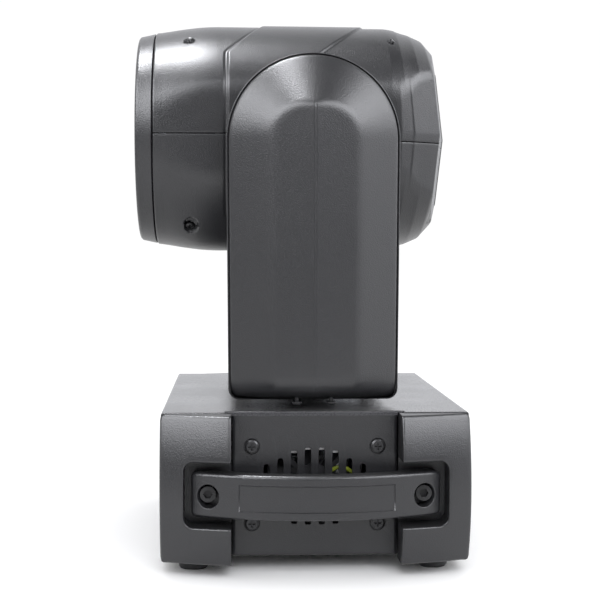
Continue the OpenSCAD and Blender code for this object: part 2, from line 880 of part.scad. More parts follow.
module head_fan_rotor() {
    color(dark) translate([69, 0, tilt_z]) rotate([0, 90, 0]) fan_rotor();
}

// Thin wheel of n holes on a stub shaft, seen along X
module effect_wheel(n, hole_r, shaft_to) {
    difference() {
        x_cylinder(0, 1.5, wheel_r);
        for (i = [0 : n - 1])
            rotate([i * 360 / n, 0, 0]) translate([0, 0, wheel_offset]) x_cylinder(-1, 3, hole_r);
    }
    x_cylinder(-2, 0.1, 5);
    x_cylinder(0, shaft_to, 1.5);
}

module colour_wheel() {
    color([0.5, 0.6, 0.7]) translate([colour_x, -wheel_offset, tilt_z]) rotate([90, 0, 0]) effect_wheel(8, 7.5, 17);
}

module gobo_wheel() {
    color(steel) translate([gobo_x, wheel_offset, tilt_z]) rotate([-90, 0, 0]) effect_wheel(8, 7.5, 24);
}

module wheel_motors() {
    color(dark) for (s = [-1, 1])
        translate([gobo_x + 16, s * wheel_offset, tilt_z]) difference() {
            x_cylinder(0, 16, 10.5);
            x_cylinder(-1, 14, 1.56);
        }
}

module focus_carriage() {
    color([0.7, 0.8, 0.85]) translate([0, 0, tilt_z]) {
        difference() {
            union() {
                x_cylinder(-70, -62, 30);
                box([-68, -64], [-46, 46], [-7, 7]);
            }
            x_cylinder(-75, -60, 26.6);
            for (s = [-1, 1]) translate([0, s * 40, 0]) x_cylinder(-75, -60, 3.06);
        }
        x_cylinder(-69, -66, 24, 26.7);
        x_cylinder(-66, -63, 26.7, 24);
        difference() {
            box([-68, -64], [-6, 6], [-50, -28]);
            translate([0, 0, -44]) x_cylinder(-75, -60, 1.8);
        }
    }
}

module focus_motor() {
    color(dark) translate([0, 0, tilt_z]) difference() {
        union() {
            for (s = [-1, 1]) translate([0, s * 40, 0]) x_cylinder(-98, -30, 3);
            box([-32, -29], [-64, 64], [-22, 22]);
            box([-32, -29], [-12, 12], [-54, -20]);
            translate([0, 0, -44]) x_cylinder(-29.5, -16, 9.5);
            translate([0, 0, -44]) x_cylinder(-94, -29, 1.5);
        }
        x_cylinder(-40, -20, 15);
    }
}

module head_screws() {
    color(dark) translate([0, 0, tilt_z]) at_head_screws() cross_screw(3, 2, 1.3, 3);
}

base_tray();
base_feet();
base_screws();
base_top_cover();
front_panel();
rear_panel();
left_end_cover();
right_end_cover();
left_vent_panel();
right_vent_panel();
left_handle();
right_handle();
handle_bolts();
display_window();
menu_button();
down_button();
up_button();
enter_button();
power_inlet();
dmx_input();
dmx_output();
power_supply();
control_board();
pan_bridge();
pan_bearing();
pan_motor();
pan_motor_pulley();
pan_belt();
base_fan();
base_fan_rotor();
pan_shaft();
pan_pulley();
yoke_frame();
yoke_base_cover();
left_arm_inner_cover();
left_arm_outer_cover();
right_arm_inner_cover();
right_arm_outer_cover();
tilt_motor();
tilt_motor_pulley();
tilt_belt();
tilt_bearings();
yoke_screws();
tilt_shafts();
tilt_pulley();
head_chassis();
upper_head_shell();
lower_head_shell();
front_ring();
front_lens();
led_module();
heatsink();
head_fan();
head_fan_rotor();
colour_wheel();
gobo_wheel();
wheel_motors();
focus_carriage();
focus_motor();
head_screws();
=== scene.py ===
# Moving head spot light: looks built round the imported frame.
import json
import math
import bpy
import bmesh
import numpy as np
from mathutils import Matrix, Vector


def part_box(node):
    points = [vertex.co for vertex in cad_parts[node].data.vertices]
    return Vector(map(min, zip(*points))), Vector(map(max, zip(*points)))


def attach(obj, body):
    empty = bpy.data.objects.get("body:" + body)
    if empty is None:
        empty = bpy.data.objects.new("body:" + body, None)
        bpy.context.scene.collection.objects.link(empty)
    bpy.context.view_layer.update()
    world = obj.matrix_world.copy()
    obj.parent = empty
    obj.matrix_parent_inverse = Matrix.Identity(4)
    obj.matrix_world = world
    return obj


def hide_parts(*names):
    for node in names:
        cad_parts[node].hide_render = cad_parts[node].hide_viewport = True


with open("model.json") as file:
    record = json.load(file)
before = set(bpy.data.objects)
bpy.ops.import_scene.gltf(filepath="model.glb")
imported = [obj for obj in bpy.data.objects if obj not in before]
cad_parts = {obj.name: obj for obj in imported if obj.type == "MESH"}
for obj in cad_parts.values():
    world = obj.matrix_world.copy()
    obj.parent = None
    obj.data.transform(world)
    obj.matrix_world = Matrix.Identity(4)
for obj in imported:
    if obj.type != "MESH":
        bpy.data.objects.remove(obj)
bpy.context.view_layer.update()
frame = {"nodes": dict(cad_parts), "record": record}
nodes = frame["nodes"]
print("stage: frame loaded,", len(nodes), "nodes")

mm = 0.001
halfSeam = 0.15   # each CAD head shell stops this far short of the tilt axis
tiltZ = round(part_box("upper_head_shell")[0].z / mm - halfSeam, 2)   # height of the tilt axis in millimetres
panelY = round(-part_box("left_vent_panel")[0].y / mm, 2)             # how far out the vent panels stand
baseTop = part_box("base_top_cover")[1].z / mm


def mathNode(g, kind, a, b=None, clamp=False, c=None):
    n = g.nodes.new("ShaderNodeMath")
    n.operation = kind
    n.use_clamp = clamp
    for i, v in enumerate((a, b, c)):
        if v is None:
            continue
        if isinstance(v, (int, float)):
            n.inputs[i].default_value = v
        else:
            g.links.new(v, n.inputs[i])
    return n.outputs[0]


# the camera stands on the -Y side at the height of the arms; its place is in millimetres, angles in degrees
studio = {
    "lens": 82.45, "place": (-49.66, -994.13, 210.19), "yaw": 2.633, "pitch": -2.391, "roll": 0.075,
    "sensor": 36, "clip": 0.02, "backdrop": 1.02, "fill": 1.2, "room": 0.02, "wall": 1.35,
    "leftWall": 0.3, "rightWall": 1.9,
    "wallFrom": (0.02, 0.30), "wallTop": (0.80, 0.90), "sideFrom": (0.60, 0.95),
    "floor": (0.93, 0.95), "floorRough": 0.6, "floorHalf": 6, "tint": (0.975, 0.985, 1.025),
    # place, target, width and height, watts, and True where the box only lights and isn't mirrored
    "boxes": {
        "leftBox": ((-0.93, -0.78, 1.08), (0, -0.05, 0.2), (1.6, 0.9), 48),
        "rightBox": ((0.93, -0.78, 1.08), (0, -0.05, 0.2), (1.6, 0.9), 40),
        "topLeftBox": ((-0.36, 0.05, 1.5), (-0.05, 0, 0.3), (0.40, 0.34), 27),
        "frontLamp": ((0.2, -1.6, 1.0), (0, 0, 0.1), (1.0, 1.0), 20, True),
    },
}


def makeCamera(s):
    # looks along +Y, turned by yaw towards +X, then tipped by pitch
    cam = bpy.data.cameras.new("studioCamera")
    cam.lens = s["lens"]
    cam.sensor_width = s["sensor"]
    cam.clip_start = s["clip"]
    obj = bpy.data.objects.new("studioCamera", cam)
    yaw, pitch, roll = (math.radians(s[k]) for k in ("yaw", "pitch", "roll"))
    ahead = Vector((math.sin(yaw) * math.cos(pitch), math.cos(yaw) * math.cos(pitch), math.sin(pitch)))
    side = Vector((math.cos(yaw), -math.sin(yaw), 0))
    up = side.cross(ahead)
    side2 = side * math.cos(roll) + up * math.sin(roll)
    up2 = side2.cross(ahead)
    turn = Matrix((side2, up2, -ahead)).transposed().to_4x4()
    obj.matrix_world = Matrix.Translation(Vector(s["place"]) * mm) @ turn
    bpy.context.scene.collection.objects.link(obj)
    bpy.context.scene.camera = obj


def softbox(name, place, target, size, watts, diffuse=False):
    # a reflected panel, or with diffuse a lamp that only lights and is never mirrored
    light = bpy.data.lights.new(name, "AREA")
    light.shape = "RECTANGLE"
    light.size, light.size_y = size
    light.energy = watts
    light.color = studio["tint"]
    obj = bpy.data.objects.new(name, light)
    aim = (Vector(target) - Vector(place)).to_track_quat("-Z", "Y").to_matrix().to_4x4()
    obj.matrix_world = Matrix.Translation(Vector(place)) @ aim
    obj.visible_camera = False
    obj.visible_diffuse = diffuse
    obj.visible_glossy = not diffuse
    bpy.context.scene.collection.objects.link(obj)


def stepNode(nt, value, low, high, flip=False):
    # rises smoothly from 0 to 1 between low and high
    node = nt.nodes.new("ShaderNodeMapRange")
    node.interpolation_type = "SMOOTHSTEP"
    node.inputs["From Min"].default_value = low
    node.inputs["From Max"].default_value = high
    node.inputs["To Min"].default_value = 1.0 if flip else 0.0
    node.inputs["To Max"].default_value = 0.0 if flip else 1.0
    nt.links.new(value, node.inputs["Value"])
    return node.outputs["Result"]


def makeStudio(s):
    for name, box in s["boxes"].items():
        softbox(name, *box)
    world = bpy.data.worlds.new("studioWorld")
    bpy.context.scene.world = world
    world.use_nodes = True
    nt = world.node_tree
    nt.nodes.clear()
    out = nt.nodes.new("ShaderNodeOutputWorld")
    path = nt.nodes.new("ShaderNodeLightPath")
    coord = nt.nodes.new("ShaderNodeTexCoord")
    split = nt.nodes.new("ShaderNodeSeparateXYZ")
    nt.links.new(coord.outputs["Generated"], split.inputs[0])
    # reflections: dark towards the camera and overhead, a pale wall behind the light and at each side
    wall = stepNode(nt, split.outputs["Y"], *s["wallFrom"])
    below = stepNode(nt, split.outputs["Z"], *s["wallTop"], True)
    both = mathNode(nt, "MULTIPLY", wall, below)
    level = mathNode(nt, "MULTIPLY_ADD", both, s["wall"], c=s["room"])
    near, far = s["sideFrom"]
    right = stepNode(nt, split.outputs["X"], near, far)
    left = stepNode(nt, split.outputs["X"], -far, -near, True)
    level = mathNode(nt, "MULTIPLY_ADD", right, s["rightWall"], c=level)
    level = mathNode(nt, "MULTIPLY_ADD", left, s["leftWall"], c=level)
    shades = []
    for strength in (s["backdrop"], s["fill"]):
        node = nt.nodes.new("ShaderNodeBackground")
        node.inputs["Color"].default_value = (1, 1, 1, 1)
        node.inputs["Strength"].default_value = strength
        shades.append(node)
    mirror = nt.nodes.new("ShaderNodeBackground")
    mirror.inputs["Color"].default_value = (*s["tint"], 1)
    nt.links.new(level, mirror.inputs["Strength"])
    inner = nt.nodes.new("ShaderNodeMixShader")
    outer = nt.nodes.new("ShaderNodeMixShader")
    nt.links.new(path.outputs["Is Glossy Ray"], inner.inputs[0])
    nt.links.new(shades[1].outputs[0], inner.inputs[1])
    nt.links.new(mirror.outputs[0], inner.inputs[2])
    nt.links.new(path.outputs["Is Camera Ray"], outer.inputs[0])
    nt.links.new(inner.outputs[0], outer.inputs[1])
    nt.links.new(shades[0].outputs[0], outer.inputs[2])
    nt.links.new(outer.outputs[0], out.inputs[0])
    world.cycles.sampling_method = "NONE"   # the world isn't sampled as a lamp
    bpy.context.scene.view_settings.view_transform = "Standard"


makeCamera(studio)
makeStudio(studio)
print("stage: camera and studio")


def newGroup(name, inputs, outputs):
    # inputs: (name, socket kind, default); outputs: (name, socket kind)
    g = bpy.data.node_groups.new(name, "ShaderNodeTree")
    for label, kind, value in inputs:
        sock = g.interface.new_socket(label, in_out="INPUT", socket_type=kind)
        sock.default_value = value
    for label, kind in outputs:
        g.interface.new_socket(label, in_out="OUTPUT", socket_type=kind)
    return g, g.nodes.new("NodeGroupInput"), g.nodes.new("NodeGroupOutput")


def objectCoords(g):
    return g.nodes.new("ShaderNodeTexCoord").outputs["Object"]


def noiseNode(g, scale, detail=2.0, roughness=0.5, coords=None):
    n = g.nodes.new("ShaderNodeTexNoise")
    n.inputs["Detail"].default_value = detail
    n.inputs["Roughness"].default_value = roughness
    if isinstance(scale, (int, float)):
        n.inputs["Scale"].default_value = scale
    else:
        g.links.new(scale, n.inputs["Scale"])
    g.links.new(coords or objectCoords(g), n.inputs["Vector"])
    return n.outputs["Fac"]


def rampNode(g, fac, low, high, a=0.0, b=1.0):
    n = g.nodes.new("ShaderNodeMapRange")
    for key, v in (("From Min", low), ("From Max", high), ("To Min", a), ("To Max", b)):
        if isinstance(v, (int, float)):
            n.inputs[key].default_value = v
        else:
            g.links.new(v, n.inputs[key])
    g.links.new(fac, n.inputs["Value"])
    return n.outputs["Result"]


def makeMouldGrain():
    # fine spark-eroded mould texture: small soft cells with a finer noise over them
    g, gin, gout = newGroup("mouldGrain",
        [("Grain Size", "NodeSocketFloat", 1400.0), ("Fine Amount", "NodeSocketFloat", 0.4)],
        [("Height", "NodeSocketFloat"), ("Mask", "NodeSocketFloat")])
    vor = g.nodes.new("ShaderNodeTexVoronoi")
    vor.feature = "SMOOTH_F1"
    vor.inputs["Smoothness"].default_value = 0.6
    g.links.new(gin.outputs["Grain Size"], vor.inputs["Scale"])
    g.links.new(objectCoords(g), vor.inputs["Vector"])
    fine = noiseNode(g, mathNode(g, "MULTIPLY", gin.outputs["Grain Size"], 2.2), 2.0, 0.6)
    cells = rampNode(g, vor.outputs["Distance"], 0.05, 0.7, 1.0, 0.0)
    total = mathNode(g, "ADD", cells, mathNode(g, "MULTIPLY", fine, gin.outputs["Fine Amount"]))
    g.links.new(total, gout.inputs["Height"])
    g.links.new(cells, gout.inputs["Mask"])
    return g


def makeHandling():
    # broad soft patches where hands have polished or dulled the surface, and a few small scuffs
    g, gin, gout = newGroup("handling",
        [("Patch Size", "NodeSocketFloat", 14.0), ("Scuff Amount", "NodeSocketFloat", 0.5)],
        [("Patches", "NodeSocketFloat"), ("Scuffs", "NodeSocketFloat")])
    patches = noiseNode(g, gin.outputs["Patch Size"], 4.0, 0.55)
    mapping = g.nodes.new("ShaderNodeMapping")
    mapping.inputs["Scale"].default_value = (1.0, 1.0, 0.18)
    mapping.inputs["Rotation"].default_value = (0.3, 0.9, 0.2)
    g.links.new(objectCoords(g), mapping.inputs["Vector"])
    lines = noiseNode(g, 320.0, 3.0, 0.7, mapping.outputs["Vector"])
    where = rampNode(g, noiseNode(g, 26.0, 2.0, 0.5), 0.55, 0.72)
    scuffs = mathNode(g, "MULTIPLY", mathNode(g, "MULTIPLY", rampNode(g, lines, 0.66, 0.74), where, True),
                      gin.outputs["Scuff Amount"], True)
    g.links.new(rampNode(g, patches, 0.3, 0.7), gout.inputs["Patches"])
    g.links.new(scuffs, gout.inputs["Scuffs"])
    return g


def makeDust():
    # light dust that settles where the surface faces up
    g, gin, gout = newGroup("settledDust",
        [("Amount", "NodeSocketFloat", 0.3), ("Speckle", "NodeSocketFloat", 700.0)],
        [("Mask", "NodeSocketFloat")])
    geo = g.nodes.new("ShaderNodeNewGeometry")
    split = g.nodes.new("ShaderNodeSeparateXYZ")
    g.links.new(geo.outputs["Normal"], split.inputs[0])
    up = rampNode(g, split.outputs["Z"], 0.35, 1.0)
    specks = rampNode(g, noiseNode(g, gin.outputs["Speckle"], 3.0, 0.6), 0.52, 0.75)
    cloud = rampNode(g, noiseNode(g, 18.0, 3.0, 0.5), 0.35, 0.75)
    both = mathNode(g, "ADD", mathNode(g, "MULTIPLY", specks, 0.7), mathNode(g, "MULTIPLY", cloud, 0.3))
    mask = mathNode(g, "MULTIPLY", up, both)
    g.links.new(mathNode(g, "MULTIPLY", mask, gin.outputs["Amount"], True), gout.inputs["Mask"])
    return g


def makeEdgeWear():
    # edges found from the bend of the surface, broken up by noise
    g, gin, gout = newGroup("edgeWear",
        [("Amount", "NodeSocketFloat", 0.5), ("Sharpness", "NodeSocketFloat", 0.53)],
        [("Mask", "NodeSocketFloat")])
    geo = g.nodes.new("ShaderNodeNewGeometry")
    edge = rampNode(g, geo.outputs["Pointiness"], gin.outputs["Sharpness"],
                    mathNode(g, "ADD", gin.outputs["Sharpness"], 0.08))
    broken = rampNode(g, noiseNode(g, 90.0, 4.0, 0.6), 0.35, 0.65)
    g.links.new(mathNode(g, "MULTIPLY", mathNode(g, "MULTIPLY", edge, broken), gin.outputs["Amount"], True),
                gout.inputs["Mask"])
    return g


mouldGrain = makeMouldGrain()
handling = makeHandling()
settledDust = makeDust()
edgeWear = makeEdgeWear()


def placeGroup(nt, group, values):
    n = nt.nodes.new("ShaderNodeGroup")
    n.node_tree = group
    for key, v in values.items():
        n.inputs[key].default_value = v
    return n


def mixColour(nt, fac, a, b):
    n = nt.nodes.new("ShaderNodeMix")
    n.data_type = "RGBA"
    for key, v in ((0, fac), (6, a), (7, b)):
        if isinstance(v, bpy.types.NodeSocket):
            nt.links.new(v, n.inputs[key])
        else:
            n.inputs[key].default_value = v if key == 0 else tuple(v) + (1,)
    return n.outputs[2]


plainFinish = {
    "metal": 0.0, "ior": 1.5, "patch": 14.0, "scuff": 0.4, "grain": 1400.0, "fine": 0.4,
    "dust": 0.2, "wear": 0.4, "grainTint": 0.12, "grainRough": 0.06, "dustRough": 0.3,
    "dustColour": (0.42, 0.41, 0.39),
    "bump": 0.12, "bumpDepth": 0.0002,
}


def finishMaterial(name, own):
    # one satin or polished surface: base colour, patches, dust, worn edges, grain bump
    s = {
        **plainFinish, "colour2": [c * 0.9 for c in own["colour"]],
        "wornColour": [c * 2.2 + 0.01 for c in own["colour"]], **own,
    }
    m = bpy.data.materials.new(name)
    m.use_nodes = True
    nt = m.node_tree
    bsdf = nt.nodes["Principled BSDF"]
    bsdf.inputs["IOR"].default_value = s["ior"]
    bsdf.inputs["Metallic"].default_value = s["metal"]
    hand = placeGroup(nt, handling, {"Patch Size": s["patch"], "Scuff Amount": s["scuff"]})
    grain = placeGroup(nt, mouldGrain, {"Grain Size": s["grain"], "Fine Amount": s["fine"]})
    dust = placeGroup(nt, settledDust, {"Amount": s["dust"]})
    worn = placeGroup(nt, edgeWear, {"Amount": s["wear"]})
    colour = mixColour(nt, hand.outputs["Patches"], s["colour"], s["colour2"])
    speckled = mathNode(nt, "MULTIPLY", grain.outputs["Mask"], s["grainTint"])
    for mask in (speckled, worn.outputs["Mask"], hand.outputs["Scuffs"]):
        colour = mixColour(nt, mask, colour, s["wornColour"])
    colour = mixColour(nt, dust.outputs["Mask"], colour, s["dustColour"])
    nt.links.new(colour, bsdf.inputs["Base Color"])
    rough = rampNode(nt, hand.outputs["Patches"], 0.0, 1.0, *s["rough"])
    rough = mathNode(nt, "ADD", rough, mathNode(nt, "MULTIPLY", dust.outputs["Mask"], s["dustRough"]), True)
    rough = mathNode(nt, "ADD", rough, mathNode(nt, "MULTIPLY", grain.outputs["Mask"], s["grainRough"]), True)
    nt.links.new(rough, bsdf.inputs["Roughness"])
    bump = nt.nodes.new("ShaderNodeBump")
    bump.inputs["Strength"].default_value = s["bump"]
    bump.inputs["Distance"].default_value = s["bumpDepth"]
    nt.links.new(grain.outputs["Height"], bump.inputs["Height"])
    nt.links.new(bump.outputs["Normal"], bsdf.inputs["Normal"])
    return m


coverPlastic = finishMaterial("coverPlastic", {
    "colour": (0.0125, 0.0127, 0.0145), "rough": (0.30, 0.35), "grain": 1300.0, "bump": 0.30,
    "dust": 0.08, "wear": 0.25, "scuff": 0.15, "grainTint": 0.10,
})
deckPlastic = finishMaterial("deckPlastic", {
    "colour": (0.030, 0.030, 0.034), "rough": (0.22, 0.28), "grain": 1300.0, "bump": 0.22, "dust": 0.35,
    "wear": 0.25, "scuff": 0.3, "grainTint": 0.10,
})
blackPlastic = finishMaterial("blackPlastic", {
    "colour": (0.018, 0.018, 0.020), "rough": (0.35, 0.45), "grain": 1800.0, "bump": 0.15, "dust": 0.1,
    "wear": 0.3,
})
paintedPanel = finishMaterial("paintedPanel", {
    "colour": (0.045, 0.045, 0.048), "rough": (0.42, 0.52), "grain": 900.0, "bump": 0.30, "dust": 0.04,
    "wear": 0.4, "scuff": 0.12, "wornColour": (0.09, 0.09, 0.095),
})
footRubber = finishMaterial("footRubber", {
    "colour": (0.022, 0.022, 0.024), "rough": (0.62, 0.75), "grain": 1100.0, "bump": 0.25, "dust": 0.4,
    "wear": 0.3, "wornColour": (0.08, 0.08, 0.08),
})
beltRubber = finishMaterial("beltRubber", {
    "colour": (0.018, 0.018, 0.018), "rough": (0.55, 0.7), "grain": 900.0, "bump": 0.3, "dust": 0.2,
    "wear": 0.4,
})
blackScrew = finishMaterial("blackScrew", {
    "colour": (0.020, 0.020, 0.022), "metal": 0.6, "rough": (0.30, 0.40), "grain": 1600.0, "bump": 0.1,
    "dust": 0.05, "wear": 0.25, "wornColour": (0.14, 0.14, 0.14),
})
# darker and duller than the other screws: painted shade for the handle bolts at the bottom of their deep
# holes
paintedShadeBolt = finishMaterial("paintedShadeBolt", {
    "colour": (0.006, 0.006, 0.007), "rough": (0.50, 0.60), "grain": 1600.0, "bump": 0.1, "dust": 0.02,
    "wear": 0.15, "wornColour": (0.03, 0.03, 0.03),
})
zincSteel = finishMaterial("zincSteel", {
    "colour": (0.52, 0.53, 0.55), "colour2": (0.44, 0.45, 0.48), "metal": 1.0, "rough": (0.26, 0.42),
    "grain": 500.0, "bump": 0.08, "dust": 0.1, "wear": 0.2, "wornColour": (0.66, 0.66, 0.67),
})
motorSteel = finishMaterial("motorSteel", {
    "colour": (0.05, 0.05, 0.052), "metal": 0.7, "rough": (0.32, 0.46), "grain": 800.0, "bump": 0.12,
    "dust": 0.1, "wear": 0.5, "wornColour": (0.40, 0.40, 0.40),
})
pulleyAlloy = finishMaterial("pulleyAlloy", {
    "colour": (0.62, 0.63, 0.65), "colour2": (0.55, 0.56, 0.58), "metal": 1.0, "rough": (0.22, 0.36),
    "grain": 700.0, "bump": 0.06, "dust": 0.05, "wear": 0.2, "wornColour": (0.8, 0.8, 0.8),
})
circuitBoard = finishMaterial("circuitBoard", {
    "colour": (0.015, 0.11, 0.05), "colour2": (0.012, 0.085, 0.04), "rough": (0.25, 0.35),
    "grain": 240.0, "bump": 0.35, "dust": 0.1, "wear": 0.3, "wornColour": (0.30, 0.26, 0.12),
})
windowPlastic = finishMaterial("windowPlastic", {
    "colour": (0.006, 0.008, 0.012), "rough": (0.06, 0.12), "grain": 300.0, "bump": 0.01, "dust": 0.05,
    "wear": 0.1, "grainTint": 0.0, "grainRough": 0.0,
})
# pale grey for the ledges behind the vent slots: a painted highlight standing in for light caught there
paintedHighlightTrim = finishMaterial("paintedHighlightTrim", {
    "colour": (0.62, 0.62, 0.63), "rough": (0.4, 0.5), "bump": 0.05,
})
earthWire = finishMaterial("earthWire", {
    "colour": (0.17, 0.19, 0.01), "colour2": (0.12, 0.16, 0.01), "rough": (0.35, 0.45), "bump": 0.05,
})


def makeGlass(name, tint, rough):
    m = bpy.data.materials.new(name)
    m.use_nodes = True
    nt = m.node_tree
    bsdf = nt.nodes["Principled BSDF"]
    bsdf.inputs["Transmission Weight"].default_value = 1.0
    bsdf.inputs["IOR"].default_value = 1.5
    hand = placeGroup(nt, handling, {"Patch Size": 30.0, "Scuff Amount": 0.2})
    smear = rampNode(nt, hand.outputs["Patches"], 0.0, 1.0, rough, rough + 0.03)
    nt.links.new(smear, bsdf.inputs["Roughness"])
    tintMix = mixColour(nt, hand.outputs["Patches"], tint, [c * 0.94 for c in tint])
    nt.links.new(tintMix, bsdf.inputs["Base Color"])
    return m


lensGlass = makeGlass("lensGlass", (0.90, 0.93, 0.98), 0.01)

slotMaterials = {
    "cover_plastic": coverPlastic, "black_plastic": blackPlastic, "painted_panel": paintedPanel,
    "foot_rubber": footRubber, "belt_rubber": beltRubber, "black_screw": blackScrew,
    "zinc_steel": zincSteel, "motor_steel": motorSteel, "pulley_alloy": pulleyAlloy,
    "lens_glass": lensGlass, "window_plastic": windowPlastic, "circuit_board": circuitBoard,
}
for part in frame["record"]["subparts"]:
    obj = nodes[part["node"]]
    obj.data.materials.clear()
    obj.data.materials.append(slotMaterials[part["material_slot"]])
# the handle bolts get the darker black, painted shade for their deep holes
nodes["handle_bolts"].data.materials[0] = paintedShadeBolt
print("stage: materials")


def gridFaces(rows, cols, wrapRows=False, wrapCols=False):
    # quads between neighbouring lines of a grid; a wrapped side joins its last line to its first
    i, j = np.meshgrid(np.arange(rows - (not wrapRows)), np.arange(cols - (not wrapCols)), indexing="ij")
    i2, j2 = (i + 1) % rows, (j + 1) % cols
    return np.stack([i * cols + j, i2 * cols + j, i2 * cols + j2, i * cols + j2], -1).reshape(-1, 4)


def grid(points, wrapRows=False, wrapCols=False):
    # points: rows x cols x 3 in millimetres
    rows, cols = points.shape[:2]
    return points.reshape(-1, 3), gridFaces(rows, cols, wrapRows, wrapCols)


def mirrored(parts, axis=0):
    # the same surfaces on the other side of a plane, with their faces turned back
    out = []
    for pts, faces in parts:
        other = pts.copy()
        other[:, axis] *= -1
        out.append((other, faces[:, ::-1]))
    return out


def orientParts(parts, inside):
    # turns each surface so that it looks away from a point
    out = []
    for pts, faces in parts:
        q = pts[faces]
        normal = np.cross(q[:, 2] - q[:, 0], q[:, 3] - q[:, 1])
        mid = q.mean(1) - np.array(inside)
        out.append((pts, faces if (normal * mid).sum() >= 0 else faces[:, ::-1]))
    return out


weldGap = 0.02   # points closer than this, in millimetres, become one


def makePiece(name, parts, material, body, replaced=(), inside=None, bend=40):
    # joins surfaces into one mesh; inside is a point that every face looks away from, on the whole
    pts = np.concatenate([p for p, _ in parts])
    starts = np.cumsum([0] + [len(p) for p, _ in parts[:-1]])
    faces = np.concatenate([f + s for (_, f), s in zip(parts, starts)])
    mesh = bpy.data.meshes.new(name)
    mesh.vertices.add(len(pts))
    mesh.vertices.foreach_set("co", (pts * mm).astype(np.float32).ravel())
    mesh.loops.add(len(faces) * 4)
    mesh.loops.foreach_set("vertex_index", faces.astype(np.int32).ravel())
    mesh.polygons.add(len(faces))
    mesh.polygons.foreach_set("loop_start", np.arange(0, len(faces) * 4, 4, dtype=np.int32))
    mesh.update(calc_edges=True)
    mesh.validate()
    bm = bmesh.new()
    bm.from_mesh(mesh)
    bmesh.ops.remove_doubles(bm, verts=bm.verts, dist=weldGap * mm)
    bmesh.ops.dissolve_degenerate(bm, edges=bm.edges, dist=weldGap * mm * 0.5)
    if inside is None:
        bmesh.ops.recalc_face_normals(bm, faces=bm.faces)
    else:
        centre = Vector(inside) * mm
        total = 0
        for f in bm.faces:
            total += f.calc_area() * f.normal.dot((f.calc_center_median() - centre).normalized())
        if total < 0:
            bmesh.ops.reverse_faces(bm, faces=bm.faces)
    bm.to_mesh(mesh)
    bm.free()
    mesh.polygons.foreach_set("use_smooth", np.ones(len(mesh.polygons), dtype=bool))
    mesh.set_sharp_from_angle(angle=math.radians(bend))
    mesh.materials.append(material)
    obj = bpy.data.objects.new(name, mesh)
    bpy.context.scene.collection.objects.link(obj)
    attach(obj, body)
    if replaced:
        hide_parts(*replaced)
    return obj


def atHeight(loop, z):
    # a flat line of points, all given the same height or depth
    return np.concatenate([loop, np.full((len(loop), 1), z)], 1)


def arcSteps(n):
    # quarter turn in n steps, as (run in from the edge, drop below the face), both from 1,0 to 0,1
    a = np.linspace(0, math.pi / 2, n + 1)
    return 1 - np.sin(a), 1 - np.cos(a)


def smoothMin(a, b, r):
    # the smaller of two, blended over a width r
    h = np.clip(0.5 + 0.5 * (b - a) / r, 0, 1)
    return b * (1 - h) + a * h - r * h * (1 - h)


def ease(x, lo, hi):
    # 0 below lo, 1 above hi, and 3t^2 - 2t^3 between
    t = np.clip((x - lo) / (hi - lo), 0, 1)
    return t * t * (3 - 2 * t)


def resample(path, n):
    # n points evenly along a polyline of m x 2 points
    step = np.hypot(*np.diff(path, axis=0).T)
    along = np.concatenate([[0], np.cumsum(step)])
    t = np.linspace(0, along[-1], n)
    return np.stack([np.interp(t, along, path[:, 0]), np.interp(t, along, path[:, 1])], -1)


def cornerArc(cx, cy, r, a0, a1, n=24):
    # n points on an arc from a0 to a1 degrees
    a = np.radians(np.linspace(a0, a1, n))
    return np.stack([cx + r * np.cos(a), cy + r * np.sin(a)], -1)


def roundLoop(w, h, r, k):
    # closed outline of a rounded rectangle: four sides of k points, each from corner middle to corner middle
    r = min(r, w - 1e-3, h - 1e-3)
    x, y = w - r, h - r
    sides = [
        np.concatenate([cornerArc(-x, y, r, 135, 90), cornerArc(x, y, r, 90, 45)]),
        np.concatenate([cornerArc(x, y, r, 45, 0), cornerArc(x, -y, r, 0, -45)]),
        np.concatenate([cornerArc(x, -y, r, -45, -90), cornerArc(-x, -y, r, -90, -135)]),
        np.concatenate([cornerArc(-x, -y, r, 225, 180), cornerArc(-x, y, r, 180, 135)]),
    ]
    return np.concatenate([resample(s, k + 1)[:-1] for s in sides])


def squareLoop(a0, a1, b0, b1, k):
    # the same number of points round a plain rectangle, side by side with roundLoop
    t = np.linspace(0, 1, k + 1)[:-1]
    top = np.stack([a0 + (a1 - a0) * t, np.full(k, b1)], -1)
    right = np.stack([np.full(k, a1), b1 + (b0 - b1) * t], -1)
    low = np.stack([a1 + (a0 - a1) * t, np.full(k, b0)], -1)
    left = np.stack([np.full(k, a0), b0 + (b1 - b0) * t], -1)
    return np.concatenate([top, right, low, left])


def holeCell(a0, a1, b0, b1, centre, w, h, r, depth, lip, k, floor=True):
    # a rectangle with a rounded hole: rows run from the outer edge over a rounded lip and down the wall
    rows = [atHeight(squareLoop(a0, a1, b0, b1, k), 0)]
    runs, drops = arcSteps(4)
    loops = [(lip * 1.8, 0.0)] + [(lip * u, lip * d) for u, d in zip(runs, drops)]
    loops += [(0.0, depth * 0.5 + lip * 0.5), (0.0, depth)]
    if floor:
        loops += [(-min(w, h) * 0.5, depth), (-min(w, h) * 0.98, depth)]
    for off, d in loops:
        loop = roundLoop(max(w + off, 0.02), max(h + off, 0.02), max(r + off, 0.01), k) + np.array(centre)
        rows.append(atHeight(loop, d))
    return np.stack(rows)


def flatCell(aList, bList):
    # a plain grid of points at depth 0
    a, b = np.meshgrid(aList, bList, indexing="ij")
    return np.stack([a, b, np.zeros_like(a)], -1)


def lathe(profile, axis, centre, n=96, start=0.0):
    # profile: m x 2 of (along, radius), turned round an axis through centre
    a = np.linspace(0, 2 * math.pi, n, endpoint=False) + start
    along, rad = profile[:, :1], profile[:, 1:]
    u, v = rad * np.cos(a), rad * np.sin(a)
    w = np.repeat(along, n, 1)
    order = {"x": (w, u, v), "y": (u, w, v), "z": (u, v, w)}[axis]
    return grid(np.stack(order, -1) + np.array(centre), wrapCols=True)


# end covers: two bulging blocks with a pocket for the handle between them

